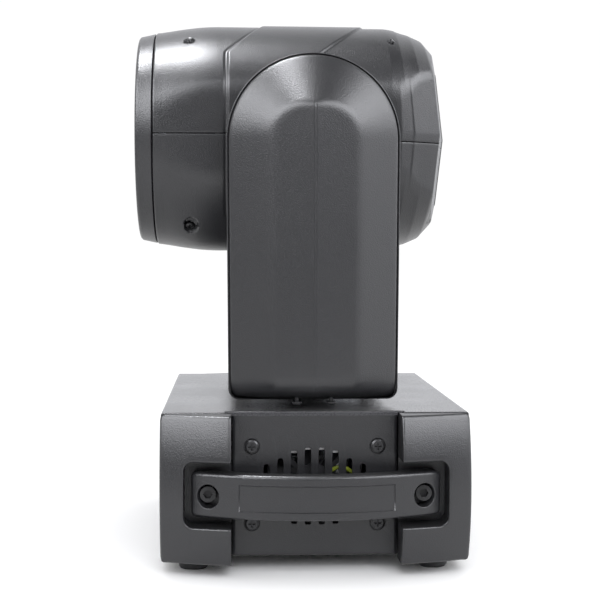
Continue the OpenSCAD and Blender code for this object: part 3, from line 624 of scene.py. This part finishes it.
endCover = {
    "halfWidth": 98.0, "inner": 53.2, "low": 8.4, "high": 102.3, "bow": 19.0, "belly": 10.0, "edge": 131.0,
    "pocketX": 82.8, "pocketLow": 33.0, "pocketHigh": 74.0, "corner": 2.6, "pocketCorner": 6.0,
    "lip": 1.7, "fillet": 1.6, "seam": 131.15, "back": 120.4, "floor": 127.0, "wallEnd": 123.4,
}


def bulge(x, z, s):
    # how far out the cover is: an arc in plan, whose radius follows a second arc in height
    mid, half = (s["high"] + s["low"]) / 2, (s["high"] - s["low"]) / 2
    planR = (s["halfWidth"] ** 2 + s["bow"] ** 2) / (2 * s["bow"])
    bellyR = (half ** 2 + s["belly"] ** 2) / (2 * s["belly"])
    rad = planR + s["belly"] - bellyR + np.sqrt(bellyR ** 2 - np.clip(z - mid, -half, half) ** 2)
    return s["edge"] + s["bow"] - planR + np.sqrt(rad ** 2 - x ** 2)


def cPath(x0, x1, high, low, r, steps, k=30):
    # a C-shaped line: in along the top from x0, down the outer side, back along the bottom to x0
    r = max(r, 0.05)
    start = np.stack([x0 + steps, np.full(len(steps), high)], -1)
    after = [[x0 + steps[-1] + 0.9, high]]
    top = resample(np.concatenate([after, cornerArc(x1 - r, high - r, r, 90, 45)]), k)
    turn = [cornerArc(x1 - r, high - r, r, 45, 0), cornerArc(x1 - r, low + r, r, 0, -45)]
    side = resample(np.concatenate(turn), k)[1:-1]
    upper = np.concatenate([start, top])
    lower = upper[::-1].copy()
    lower[:, 1] = high + low - lower[:, 1]
    return np.concatenate([upper, side, lower])


def makeBlock(s):
    # rows run from the back edge over the face and down into the pocket; each row is
    # (line, how far below the bulge, the furthest out it may be)
    runs, drops = arcSteps(5)
    steps = np.sort(s["fillet"] * runs)
    dropU = s["fillet"] * (1 - np.sqrt(np.clip(1 - (1 - steps / s["fillet"]) ** 2, 0, 1)))
    rows = []

    def outer(o):
        high, low = s["high"] - o, s["low"] + o
        return cPath(s["inner"], s["halfWidth"] - o, high, low, s["corner"] - o * 0.8, steps)

    def pocket(o):
        high, low = s["pocketHigh"] + o, s["pocketLow"] - o
        return cPath(s["inner"], s["pocketX"] + o, high, low, s["pocketCorner"] + o, steps)

    far = 999.0   # no limit
    edge = outer(0)
    low = edge.copy()
    low[:, 1] = np.minimum(low[:, 1], s["high"] - 2.6)
    rows += [(low, 0, s["back"]), (low, 0, s["seam"]), (edge, 0, s["seam"]), (edge, 0, s["seam"] + 0.35)]
    for u, d in list(zip(runs, drops))[::-1]:
        rows.append((outer(s["fillet"] * u), s["fillet"] * d, far))
    a, b = outer(s["fillet"] * 2.2), pocket(s["lip"] * 2.4)
    for t in np.linspace(0, 1, 14):
        rows.append((a * (1 - t) + b * t, 0, far))
    for u, d in zip(runs, drops):
        rows.append((pocket(s["lip"] * u), s["lip"] * d, far))
    inner = pocket(0)
    rows += [(inner, 6.0, far), (inner, 0, s["floor"])]
    middle = np.full(len(inner), (s["pocketHigh"] + s["pocketLow"]) / 2)
    centre = np.stack([np.clip(inner[:, 0], s["inner"], s["pocketX"] - 14), middle], -1)
    for t in (0.5, 1.0):
        rows.append((inner * (1 - t) + centre * t, 0, s["floor"]))
    flat = np.stack([r[0] for r in rows])
    n = flat.shape[1]
    fall = np.zeros(n)
    fall[:len(steps)] = dropU
    fall[-len(steps):] = dropU[::-1]
    x, z = flat[..., 0], flat[..., 1]
    y = bulge(x, z, s) - np.array([r[1] for r in rows])[:, None] - fall
    y = np.minimum(y, np.array([r[2] for r in rows])[:, None])
    # walls of the recess, square to the ends of every row
    deep = np.minimum(y, s["wallEnd"])
    half = np.where(y < s["wallEnd"], y, s["wallEnd"] + (y - s["wallEnd"]) * 0.55)
    xs = np.concatenate([x[:, :1], x[:, :1], x, x[:, -1:], x[:, -1:]], 1)
    zs = np.concatenate([z[:, :1], z[:, :1], z, z[:, -1:], z[:, -1:]], 1)
    ys = np.concatenate([deep[:, :1], half[:, :1], y, half[:, -1:], deep[:, -1:]], 1)
    return np.stack([-xs, -ys, zs], -1)


def makeEndCover(side, s):
    parts = [grid(makeBlock(s))]
    parts += mirrored(parts, 0)
    if side > 0:
        parts = mirrored(parts, 1)
    name = "left" if side < 0 else "right"
    return makePiece(name + "EndCover", parts, coverPlastic, "base", [name + "_end_cover"],
                     inside=(0, side * 100, 55), bend=50)


for side in (-1, 1):
    makeEndCover(side, endCover)
print("stage: end covers")


# vent panels: eight slots under an oval, two screws on each side

ventPanel = {
    "halfWidth": 52.9, "low": 10.2, "high": 101.9, "roll": 2.2, "thick": 2.5, "pitch": 8.8, "slotHalf": 2.0,
    "tops": [69.1, 72.8, 77.6, 79.6, 79.6, 77.6, 72.8, 69.1],
    "lows": [41.0, 37.2, 30.8, 30.4, 30.4, 30.8, 37.2, 41.0],
    "field": 34.4, "fieldLow": 22, "fieldHigh": 88, "fieldSplit": 56,
    "screwX": 40.2, "screwZ": [31.4, 80.6], "screwR": 4.9, "screwDepth": 0.9,
}


def makeVentPanel(side, s):
    # cells: (points, whether each row closes on itself)
    cells = []
    half, roll, field = s["halfWidth"], s["roll"], s["field"]
    lines = np.concatenate([[-field], np.arange(-3, 4) * s["pitch"], [field]])
    for i, (top, low) in enumerate(zip(s["tops"], s["lows"])):
        centre = ((i - 3.5) * s["pitch"], (top + low) / 2)
        corner = 0.9 if 2 <= i <= 5 else s["slotHalf"] - 0.05
        cell = holeCell(lines[i], lines[i + 1], s["fieldLow"], s["fieldHigh"], centre,
                        s["slotHalf"], (top - low) / 2, corner, s["thick"], 0.25, 14, floor=False)
        cells.append((cell, True))
    r = s["screwR"]
    rows = (
        (s["fieldLow"], s["fieldSplit"], s["screwZ"][0]),
        (s["fieldSplit"], s["fieldHigh"], s["screwZ"][1]),
    )
    for sx in (-1, 1):
        a0, a1 = sorted((sx * field, sx * (half - roll)))
        for b0, b1, z in rows:
            cell = holeCell(a0, a1, b0, b1, (sx * s["screwX"], z), r, r, r - 0.01, s["screwDepth"], 0.3, 10)
            cells.append((cell, True))
    across = np.linspace(-half + roll, half - roll, 30)
    cells.append((flatCell(across, np.array([s["low"] + roll, 17, s["fieldLow"]])), False))
    cells.append((flatCell(across, np.array([s["fieldHigh"], 94, s["high"] - roll])), False))
    # rolled rim all round
    h = (s["high"] - s["low"]) / 2
    rim = []
    for u, d in zip(*arcSteps(5)):
        w1, h1 = half - roll * u, h - roll * u
        rim.append(atHeight(squareLoop(-w1, w1, -h1, h1, 26), roll * d))
    rim.append(rim[-1] * [1, 1, 0] + [0, 0, s["thick"]])
    cells.append((np.stack(rim) + [0, (s["high"] + s["low"]) / 2, 0], True))
    return [grid(np.stack([c[..., 0], side * (panelY - c[..., 2]), c[..., 1]], -1), wrapCols=closed)
            for c, closed in cells]


for side, name in ((-1, "left"), (1, "right")):
    where = (0, side * 60, 55)
    makePiece(name + "VentPanel", orientParts(makeVentPanel(side, ventPanel), where), coverPlastic, "base",
              [name + "_vent_panel"], inside=where)
print("stage: vent panels")


# handles: a bowed grip with a shallow name-plate recess and a deep bolt hole at each end

handle = {
    "radius": 166.0, "front": 159.0, "halfLength": 79.0, "height": 28.0, "mid": 53.0, "thick": 12.0,
    "corner": 3.0, "fillet": 2.4, "footBack": 127.2, "footFrom": 56.0,
    "insetX": 48.5, "insetLow": -8.8, "insetHigh": 7.4, "insetDepth": 0.9, "collar": 6,
    "boltX": 67.8, "boltZ": -0.6, "boltR": 7.5, "boltDepth": 10.5,
}


def handlePlace(a, b, d, side, s):
    # a: length along the outer arc, b: height from its middle, d: depth below the front face
    turn = a / s["radius"]
    x = s["radius"] * np.sin(turn)
    y = s["front"] - s["radius"] + s["radius"] * np.cos(turn)
    x2 = x - d * np.sin(turn)
    y2 = y - d * np.cos(turn)
    foot = ease(np.abs(x), s["footFrom"] - 4, s["footFrom"] + 1) * ease(d, s["thick"] - 2.5, s["thick"])
    y2 = y2 * (1 - foot) + s["footBack"] * foot
    x2 = x2 * (1 - foot) + x * foot
    return np.stack([x2, side * y2, s["mid"] + b], -1)


def makeHandle(side, s):
    half = s["radius"] * math.asin(s["halfLength"] / s["radius"])
    high = s["height"] / 2
    f = s["fillet"]
    # rounded edge in front, straight side, rounded edge behind, as (in from the outline, depth)
    band = [(f * u, f * d) for u, d in zip(*arcSteps(5))]
    rows = band + [(0, s["thick"] * 0.5)] + [(x, s["thick"] - d) for x, d in band[::-1]]
    loops = []
    for off, d in rows:
        loops.append(atHeight(roundLoop(half - off, high - off, max(s["corner"] - off, 0.05), 60), d))
    parts = [grid(handlePlace(*np.moveaxis(np.stack(loops), -1, 0), side, s), wrapCols=True)]
    # front face: an end cell round each bolt hole, and the grip with its shallow recess
    bolt = s["radius"] * math.asin(s["boltX"] / s["radius"])
    inset = s["radius"] * math.asin(s["insetX"] / s["radius"])
    grip = inset + s["collar"]
    r = s["boltR"]
    for sx in (-1, 1):
        a0, a1 = sorted((sx * grip, sx * (half - f)))
        centre = (sx * bolt, s["boltZ"])
        cell = holeCell(a0, a1, -high + f, high - f, centre, r, r, r - 0.01, s["boltDepth"], 0.5, 14)
        parts.append(grid(handlePlace(*np.moveaxis(cell, -1, 0), side, s), wrapCols=True))
    e = 0.25   # half the run of the recess wall
    aEnd = [inset - e, inset + e, grip]
    aLines = np.concatenate([[-v for v in aEnd[::-1]], np.linspace(-inset + 3, inset - 3, 40), aEnd])
    bLow, bHigh = s["insetLow"], s["insetHigh"]
    bLines = np.array([-high + f, bLow - e, bLow + e, 0, bHigh - e, bHigh + e, high - f])
    a, b = np.meshgrid(aLines, bLines, indexing="ij")
    within = (np.abs(a) < inset) & (b > bLow) & (b < bHigh)
    parts.append(grid(handlePlace(a, b, np.where(within, s["insetDepth"], 0.0), side, s)))
    # the back face looks inwards
    along, up = np.linspace(-half + f, half - f, 60), np.linspace(-high + f, high - f, 5)
    a, b = np.meshgrid(along, up, indexing="ij")
    back = handlePlace(a, b, np.full_like(a, s["thick"]), side, s)
    out = orientParts(parts, (0, side * (s["front"] - 30), s["mid"]))
    pts, faces = grid(back)
    q = pts[faces]
    normal = np.cross(q[:, 2] - q[:, 0], q[:, 3] - q[:, 1])[:, 1].sum() * side
    out.append((pts, faces if normal < 0 else faces[:, ::-1]))
    return out


for side, name in ((-1, "left"), (1, "right")):
    makePiece(name + "Handle", makeHandle(side, handle), coverPlastic, "base",
              [name + "_handle"], inside=(0, side * 149, 53))
print("stage: handles")


# arms: a side cover with a ridge down its middle, set inside the lip of an inner cover

arm = {
    "archZ": 276.5, "archR": 56.5, "lowR": 55.3, "low": 108.3, "corner": 7.0,
    "ridge": 131.0, "fall": 0.2128, "ridgeRound": 0.4, "crease": 0.3, "creaseHalf": 0.5,
    "bevel": 104.5, "bevelRise": 0.775, "groove": 1.6,
    "bottomFrom": 133.0, "bottomDepth": 92.0, "bottomCurve": 4.5,
    "inner": 79.3, "innerRound": 2.2, "seam": 103.45, "shaftR": 13.0, "shaftLip": 0.6,
}


def armColumns(s):
    # how far along each row a column lies: down one side, over the arch and down the other side
    phi = np.linspace(0, math.pi / 2, 26)
    t = np.sin(phi) ** (2 / s["bottomCurve"])
    t[-1] = 1.0
    crown = np.array([0.35, 0.7, 1.1, 1.6, 2.4, 4.0])
    middle = np.concatenate([90 + crown[::-1], [90], 90 - crown])
    arch = np.concatenate([np.linspace(180, 96, 30), middle, np.linspace(84, 0, 30)])
    return t, arch


def armRow(o, s):
    # one row of the cover, o in from the outline; the low ends are crowded where the cover turns under
    t, arch = armColumns(s)
    corner = s["corner"]
    low = s["low"]
    if o < corner:
        low += corner - math.sqrt(corner ** 2 - (corner - o) ** 2)
    straight = np.linspace(s["archZ"], s["bottomFrom"], 26)[1:]
    z = np.concatenate([straight, s["bottomFrom"] - (s["bottomFrom"] - low) * t[1:]])
    f = np.concatenate([np.ones(25), np.sqrt(np.clip(1 - t[1:] ** s["bottomCurve"], 0, 1))])
    half = s["lowR"] + (s["archR"] - s["lowR"]) * (z - s["low"]) / (s["archZ"] - s["low"]) - o
    half = np.maximum(half, 0)
    a = np.radians(arch)
    x = np.concatenate([-half[::-1], (s["archR"] - o) * np.cos(a), half])
    zz = np.concatenate([z[::-1], s["archZ"] + (s["archR"] - o) * np.sin(a), z])
    ff = np.concatenate([f[::-1], np.ones(len(a)), f])
    return x, zz, ff


def makeArmOuter(side, s):
    # depth: the lower of two planes that fall from the ridge and a bevel that rises from the rim,
    # blended where they meet; towards the bottom it falls to bottomDepth as sqrt(1 - t^bottomCurve)
    rim = [1.6, 1.9, 2.3, 3.0]
    face = [np.linspace(4.5, 26, 12), np.linspace(26.6, 30.5, 9), np.linspace(32, 52, 11)]
    ridge = [53.5, 54.4, 55.0, 55.4, 55.7, 55.95, 56.15, 56.35, 56.5]
    offs = np.concatenate([rim, *face, ridge])   # how far in each row lies, closer together at every bend
    rows = [armRow(o, s) for o in offs]
    x, z, f = (np.stack([r[i] for r in rows]) for i in range(3))
    plane = s["ridge"] - s["fall"] * np.sqrt(x ** 2 + s["ridgeRound"] ** 2)
    plane = plane - s["crease"] * np.exp(-(x / s["creaseHalf"]) ** 2)
    bevel = s["bevel"] + s["bevelRise"] * (offs[:, None] - s["groove"])
    depth = smoothMin(plane, bevel, 2.0)
    depth = s["bottomDepth"] + (depth - s["bottomDepth"]) * f
    edge = np.array([0.9, 0.35, 0.08] + [0.0] * (len(offs) - 3))[:, None]
    depth = depth - edge * f
    # the rim turns in to the groove
    rim = np.minimum(depth[:1], s["seam"] - 2.4)
    x, z, depth = (np.concatenate([a, b]) for a, b in ((x[:1], x), (z[:1], z), (rim, depth)))
    depth = np.maximum(depth, s["bottomDepth"])
    return [grid(np.stack([x, side * depth, z], -1))]


def armLoop(o, s):
    # a closed line, o in from the outline: arch, tapered sides and a straight bottom with round corners
    low = s["low"] + 0.35 * o
    half = s["archR"] - o
    foot = s["lowR"] - o
    a = np.radians(np.linspace(180, 0, 72))
    r = max(s["corner"] - o, 0.3)
    top = np.stack([half * np.cos(a), s["archZ"] + half * np.sin(a)], -1)
    down = np.stack([np.linspace(half, foot, 30)[1:], np.linspace(s["archZ"], low + r, 30)[1:]], -1)
    corner = cornerArc(foot - r, low + r, r, 0, -90, 8)[1:]
    bottom = np.stack([np.linspace(foot - r, -foot + r, 32)[1:], np.full(31, low)], -1)
    turn = cornerArc(-foot + r, low + r, r, 270, 180, 8)[1:]
    up = (down * [-1, 1])[::-1][:-1]
    return np.concatenate([top, down, corner, bottom, turn, up])


def makeArmInner(side, s):
    # the lip round the outer cover, as (in from the outline, below the seam)
    lip = [(1.6, 2.6), (0.95, 2.6), (0.95, 0.35), (0.75, 0.1), (0.45, 0), (0.2, 0.1), (0.05, 0.35), (0, 0.9)]
    edge = s["innerRound"]
    profile = [(o, s["seam"] - d) for o, d in lip]
    profile += [(0, (s["seam"] + s["inner"]) / 2), (0, s["inner"] + edge)]
    for q in np.linspace(0.2, math.pi / 2, 6):
        profile.append((edge * (1 - math.cos(q)), s["inner"] + edge * (1 - math.sin(q))))
    rows = [atHeight(armLoop(o, s), d) for o, d in profile]
    # the inner face closes in on the hole for the tilt shaft
    last = rows[-1][:, :2] - [0, tiltZ]
    angle = np.arctan2(last[:, 1], last[:, 0])
    ring = np.stack([np.cos(angle), np.sin(angle)], -1)
    shaft, flare = s["shaftR"], s["shaftLip"]
    for t in (0.3, 0.6, 0.85):
        spot = last * (1 - t) + ring * (shaft + flare) * t
        rows.append(atHeight(spot + [0, tiltZ], s["inner"]))
    for r, d in ((shaft + flare, 0), (shaft + 0.17, 0.17), (shaft, flare), (shaft, 2.5)):
        rows.append(atHeight(ring * r + [0, tiltZ], s["inner"] + d))
    p = np.stack(rows)
    return [grid(np.stack([p[..., 0], side * p[..., 2], p[..., 1]], -1), wrapCols=True)]


for side, name in ((-1, "left"), (1, "right")):
    for piece, maker, y in (("Outer", makeArmOuter, 95), ("Inner", makeArmInner, 92)):
        where = (0, side * y, 200)
        makePiece(name + "Arm" + piece + "Cover", orientParts(maker(side, arm), where), coverPlastic, "yoke",
                  [name + "_arm_" + piece.lower() + "_cover"], inside=where, bend=45)
print("stage: arms")


# head: two shells whose seam sinks a little towards the rear, with a raised band round the middle

head = {
    "x": [-106, -97, -84, -70, 55, 62, 66, 79, 88, 95.5, 98.3],
    "r": [74.3, 76, 78, 79.6, 79.0, 78.4, 78.0, 74.9, 70.8, 61.4, 47.7],
    "wx": [-106, 61.4, 69.5, 70.5, 84.6, 89.3, 95.0, 98.3],
    "w": [73.4, 73.4, 70.0, 70.2, 60.0, 56.5, 20.0, 4.0],
    "lean": 0.115, "band": 1.1, "valley": 0.4,
    "front": -55.5, "frontSweep": 25.0, "rear": 40.5, "rearSweep": 1.3,
    "screwX": [-82, 58], "screwTurn": [55, 125, 235, 305], "screwR": 77, "screwDeep": 4.0,
    "holeX": -80.9, "holeZ": -62.1, "holeDeep": 3.0,
    "ventX": [89.6, 97.4], "ventZ": [[10, 50], [-60, -12]], "ventDeep": 2.0, "louvre": 6.0,
}


def headPoint(x, theta, s):
    # section at x: y = R sin(theta) held under W, z = R cos(theta); the rear leans forward with height
    first, last = s["x"][0], s["x"][-1]
    soft = 7.0 * (1 - ease(x, 40, 56))   # R is averaged over this length, so that its steps don't show
    r = sum(np.interp(np.clip(x + soft * k, first, last), s["x"], s["r"]) for k in (-1, -0.5, 0, 0.5, 1)) / 5
    w = np.interp(x, s["wx"], s["w"])
    z0 = r * np.cos(theta)
    high = np.abs(z0)
    # the band: its front edge sweeps back and its rear edge forward with height
    front = s["front"] + s["frontSweep"] * np.clip((high - 55) / 24, 0, 1)
    rear = np.maximum(s["rear"] - s["rearSweep"] * (max(s["r"]) - high), 5)
    band = ease(x, front - 0.7, front + 0.7) * (1 - ease(x, rear - 0.8, rear + 0.8))
    valley = np.exp(-((x - front + 1.6) / 0.9) ** 2)
    lift = s["band"] * band - s["valley"] * valley
    y0 = r * np.sin(theta)
    flat = np.sign(y0) * smoothMin(np.abs(y0), w, 3.0)
    # louvred windows on the rear corners
    vent = 0
    for lo, hi in s["ventZ"]:
        vent = vent + ease(z0, lo, lo + 1.0) * (1 - ease(z0, hi - 1.0, hi))
    lo, hi = s["ventX"]
    vent = vent * ease(x, lo, lo + 1.0) * (1 - ease(x, hi - 1.0, hi)) * ease(np.abs(y0), 22, 24)
    slat = 0.5 + 0.5 * np.cos(z0 * 2 * math.pi / s["louvre"])
    lift = lift - vent * (s["ventDeep"] - 0.6 * ease(slat, 0.35, 0.9))
    # pockets for the screws and one round hole on each side
    for sx in s["screwX"]:
        for turn in s["screwTurn"]:
            a = math.radians(turn)
            dy, dz = y0 - s["screwR"] * math.cos(a), z0 - s["screwR"] * math.sin(a)
            gap = np.sqrt((x - sx) ** 2 + dy ** 2 + dz ** 2)
            lift = lift - s["screwDeep"] * (1 - ease(gap, 3.3, 4.1))
    gap = np.hypot(x - s["holeX"], z0 - s["holeZ"])
    lift = lift - s["holeDeep"] * (1 - ease(gap, 4.2, 5.0)) * (np.abs(y0) > 10)
    # lift moves a point straight away from the axis
    awayY, awayZ = flat / np.maximum(r, 1), z0 / np.maximum(r, 1)
    size = np.maximum(np.hypot(awayY, awayZ), 1e-6)
    y = flat + lift * awayY / size
    z = z0 + lift * awayZ / size
    return np.stack([x - s["lean"] * np.abs(z) * ease(x, 50, 78), y, z], -1)


def makeShell(top, s):
    # one shell from seam to seam over its crown, with a rounded edge at the seam, a lip and a rear wall
    xs = np.concatenate([np.linspace(-105.2, -84, 32), np.linspace(-83.4, 20, 150),
                         np.linspace(20.6, s["x"][-1], 118)])
    split = -1.0 - 5.0 * ease(xs, -40, 60)
    r = np.interp(xs, s["x"], s["r"])
    sign = 1 if top else -1
    lip = np.array([0.0, 0.12, 0.35])     # steps in from the seam
    sink = np.array([1.2, 0.35, 0.10])    # how far each step lies below the side
    end = np.arccos(np.clip(sign * (split + sign * 0.16) / r, -1, 1))
    u = np.linspace(-1, 1, 210)
    step = 0.75 / r
    inner = u[None, :] * (end - step)[:, None]
    edgeL = -(end[:, None] - lip[None] / r[:, None])
    edgeR = -edgeL[:, ::-1]
    theta = np.concatenate([edgeL, inner, edgeR], 1)
    if not top:
        theta = math.pi - theta
    p = headPoint(xs[:, None] + 0 * theta, theta, s)
    drop = np.zeros(p.shape[1])
    drop[:3], drop[-3:] = sink, sink[::-1]
    p[..., 1] -= np.sign(p[..., 1]) * drop
    # front lip and rear wall
    rows = []
    for dx, k in ((0.3, 0.86), (-0.75, 0.86), (-0.75, 0.985), (-0.5, 0.995)):
        q = p[0].copy()
        q[:, 0] += dx
        q[:, 1:] *= k
        rows.append(q)
    tail = []
    for dx, k in ((0.35, 0.985), (0.5, 0.95), (0.55, 0.8), (0.6, 0.6), (0.6, 0.3), (0.6, 0.02)):
        q = p[-1].copy()
        q[:, 1:] *= k
        q[:, 0] = xs[-1] + dx - s["lean"] * np.abs(q[:, 2])
        tail.append(q)
    full = np.concatenate([np.stack(rows), p, np.stack(tail)])
    full[..., 2] += tiltZ
    return [grid(full)]


for top, name in ((True, "upper"), (False, "lower")):
    where = (0, 0, tiltZ + (30 if top else -30))
    makePiece(name + "HeadShell", orientParts(makeShell(top, head), where), coverPlastic, "head",
              [name + "_head_shell"], inside=where, bend=50)
print("stage: head shells")


# front ring and lens

ring = {
    "front": 117.9, "back": 106.45, "rim": 2.6, "innerRim": 1.2, "throat": 110.0,
    "outerR": 74.2, "noseR": 72.3, "mouthR": 62.0, "throatR": 50.4,
}
lens = {"front": 108.7, "dome": 2.25, "glassR": 49.6, "flange": 106.3, "flangeR": 53.6, "back": 103.05}


def makeRing(s):
    # outside over the rounded rim, down a stepped cone to the throat, and back along the flat rear
    a = np.linspace(0, math.pi / 2, 9)
    rim, lip, front, back = s["rim"], s["innerRim"], s["front"], s["back"]
    outer = np.stack([-(front - rim * (1 - np.sin(a))), s["noseR"] - rim * (1 - np.cos(a))], -1)
    inner = np.stack([-(front - lip * (1 - np.cos(a))), s["mouthR"] + lip - lip * np.sin(a)], -1)
    along = np.linspace(-front + 1.6, -s["throat"] - 0.5, 9)
    steps = np.stack([along, np.linspace(s["mouthR"] - 0.4, s["throatR"] + 0.6, 9)], -1)
    steps[1::2, 1] += 0.35
    start = [[-back, s["throatR"]], [-back, s["outerR"] - 0.6], [-back - 0.5, s["outerR"] - 0.05]]
    end = [[-s["throat"], s["throatR"]], [-back, s["throatR"]]]
    return [lathe(np.concatenate([start, outer, inner, steps, end]), "x", (0, 0, tiltZ), 160)]


def makeLens(s):
    # a shallow elliptical dome on a flange
    a = np.linspace(0, 1, 14)
    dome = np.stack([-s["front"] - s["dome"] * np.sqrt(1 - a ** 2), s["glassR"] * a], -1)
    dome[0, 1] = 0.01
    neck = s["glassR"] + 0.3
    edge = [[-s["front"] + 0.3, neck], [-s["flange"] - 0.3, neck], [-s["flange"], s["flangeR"]],
            [-s["back"] - 0.35, s["flangeR"] + 0.3], [-s["back"], s["flangeR"] - 0.1], [-s["back"], 0.01]]
    return [lathe(np.concatenate([dome, edge]), "x", (0, 0, tiltZ), 96)]


makePiece("frontRing", makeRing(ring), coverPlastic, "head", ["front_ring"], bend=35)
makePiece("frontLens", makeLens(lens), lensGlass, "head", ["front_lens"], bend=35)
print("stage: ring and lens")


# deck: a flat plate with rolled edges, notched over both vent panels

deck = {
    "halfX": 97.45, "halfY": 130.95, "notchX": 56.2, "notchY": 123.95, "thick": 2.9, "roll": 1.4,
    "hole": 30.0, "holeField": 60,
}


def makeDeck(s):
    def outline(o, k=14):
        # o in from the edge, with k points along each of the twelve sides
        x, y, nx, ny = s["halfX"] - o, s["halfY"] - o, s["notchX"] + o, s["notchY"] - o
        corners = [(-x, y), (-nx, y), (-nx, ny), (nx, ny), (nx, y), (x, y)]
        corners += [(-a, -b) for a, b in corners]
        c = np.array(corners + corners[:1], float)
        t = np.linspace(0, 1, k + 1)[:-1, None]
        return np.concatenate([c[i] * (1 - t) + c[i + 1] * t for i in range(12)])

    r = s["roll"]
    rows = [atHeight(outline(r * u), -r * d) for u, d in zip(*arcSteps(5))]
    rows.append(rows[-1] * [1, 1, 0] + [0, 0, -s["thick"]])
    x, y, nx, ny, field = s["halfX"] - r, s["halfY"] - r, s["notchX"] + r, s["notchY"] - r, s["holeField"]
    cells = [
        flatCell(np.linspace(-x, -nx, 8), np.linspace(-y, y, 30)),
        flatCell(np.linspace(nx, x, 8), np.linspace(-y, y, 30)),
        flatCell(np.linspace(-nx, nx, 16), np.linspace(field, ny, 10)),
        flatCell(np.linspace(-nx, nx, 16), np.linspace(-ny, -field, 10)),
    ]
    h = s["hole"]
    hole = holeCell(-nx, nx, -field, field, (0, 0), h, h, h - 0.01, s["thick"], 0.6, 16, floor=False)
    out = [grid(np.stack(rows) + [0, 0, baseTop], wrapCols=True)]
    out += [grid(c + [0, 0, baseTop]) for c in cells]
    out.append(grid(hole * [1, 1, -1] + [0, 0, baseTop], wrapCols=True))
    return out


where = (0, 0, baseTop - 40)
makePiece("baseTopCover", orientParts(makeDeck(deck), where), deckPlastic, "base",
          ["base_top_cover"], inside=where, bend=50)
print("stage: deck")


# cover over the foot of the yoke

yokeCover = {"corner": 6.0, "edge": 7.8, "gap": 0.05}


def makeYokeCover(s):
    # a rounded box just inside the CAD cover, with a rounded top edge and a nearly flat top
    low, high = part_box("yoke_base_cover")
    gap, edge = s["gap"], s["edge"]
    hx, hy = (high.x - low.x) / 2 / mm - gap, (high.y - low.y) / 2 / mm - gap
    top, bottom = high.z / mm - gap, low.z / mm + gap
    rows = [(0.8, bottom), (0.2, bottom + 0.3), (0, bottom + 1), (0, (top + bottom) / 2)]
    for q in np.linspace(0, math.pi / 2, 8):
        rows.append((edge * (1 - math.cos(q)), top - edge * (1 - math.sin(q))))
    loops = []
    for o, z in rows:
        loops.append(atHeight(roundLoop(hx - o, hy - o * 0.15, max(s["corner"] - o, 0.5), 30), z))
    flat = loops[-1].copy()
    for k in (0.75, 0.5, 0.25, 0.02):
        q = flat.copy()
        q[:, :2] *= k
        q[:, 2] += 0.04 * (1 - k)
        loops.append(q)
    return [grid(np.stack(loops), wrapCols=True)]


where = (0, 0, 118)
makePiece("yokeBaseCover", orientParts(makeYokeCover(yokeCover), where), coverPlastic, "yoke",
          ["yoke_base_cover"], inside=where, bend=45)
print("stage: yoke cover")


# seen through the slots: a pale ledge, whose pale colour is a painted highlight for light caught behind the
# slots, and a green and yellow wire

def makeTube(path, radius, n=14):
    # rings of n points at right angles to a path of m x 3 points
    step = np.gradient(path, axis=0)
    step /= np.linalg.norm(step, axis=1)[:, None]
    side = np.cross(step, [0.0, 0.0, 1.0])
    side /= np.maximum(np.linalg.norm(side, axis=1), 1e-6)[:, None]
    up = np.cross(side, step)
    a = np.linspace(0, 2 * math.pi, n, endpoint=False)
    cos, sin = np.cos(a)[None, :, None], np.sin(a)[None, :, None]
    ringPts = path[:, None] + radius * (side[:, None] * cos + up[:, None] * sin)
    ends = [path[:1, None] + 0 * ringPts[:1], ringPts, path[-1:, None] + 0 * ringPts[-1:]]
    return grid(np.concatenate(ends), wrapCols=True)


slotView = {
    "ledges": [(-13.2, 4.0, 76.7), (0.0, 8.4, 78.7), (13.2, 4.0, 76.7)],   # middle x, half length, z
    "back": 3.3, "ledgeHalf": 0.9, "wireBack": 7.5, "wireR": 1.3, "wireX": 8, "wireLength": 18,
    "wireZ": 61.5, "wireRise": 4.5,
}


def makeLedge(x, half, z, side, s):
    # a small bar: rings of a rounded rectangle, as (depth, scale), closed at both ends
    loop = roundLoop(half, s["ledgeHalf"], 0.3, 8)
    rings = []
    for d, k in ((0.3, 0.02), (0, 0.8), (0.2, 1), (2.4, 1), (2.6, 0.02)):
        y = np.full(len(loop), side * (panelY - s["back"] - d))
        rings.append(np.stack([x + loop[:, 0] * k, y, z + loop[:, 1] * k], -1))
    return grid(np.stack(rings), wrapCols=True)


def wirePath(side, s):
    # half a sine wave along x
    t = np.linspace(0, 1, 40)
    y = np.full(len(t), side * (panelY - s["wireBack"]))
    z = s["wireZ"] + s["wireRise"] * np.sin(t * math.pi)
    return np.stack([s["wireX"] + s["wireLength"] * t, y, z], -1)


for side, name in ((-1, "left"), (1, "right")):
    ledges = [makeLedge(x, half, z, side, slotView) for x, half, z in slotView["ledges"]]
    # the ledges are pale, a painted highlight showing at the tops of the slots
    makePiece(name + "VentLedge", ledges, paintedHighlightTrim, "base")
    wire = makeTube(wirePath(side, slotView), slotView["wireR"])
    makePiece(name + "EarthWire", [wire], earthWire, "base")
print("stage: slot details")


def makeFloor(s):
    # a pale matt sheet that the light stands on
    h = s["floorHalf"]
    mesh = bpy.data.meshes.new("studioFloor")
    mesh.from_pydata([(-h, -h, 0), (h, -h, 0), (h, h, 0), (-h, h, 0)], [], [(0, 1, 2, 3)])
    m = bpy.data.materials.new("floorPaint")
    m.use_nodes = True
    nt = m.node_tree
    bsdf = nt.nodes["Principled BSDF"]
    bsdf.inputs["Roughness"].default_value = s["floorRough"]
    tone = rampNode(nt, noiseNode(nt, 3.0, 2.0), 0.3, 0.7, *s["floor"])
    nt.links.new(tone, bsdf.inputs["Base Color"])
    mesh.materials.append(m)
    obj = bpy.data.objects.new("studioFloor", mesh)
    bpy.context.scene.collection.objects.link(obj)


makeFloor(studio)
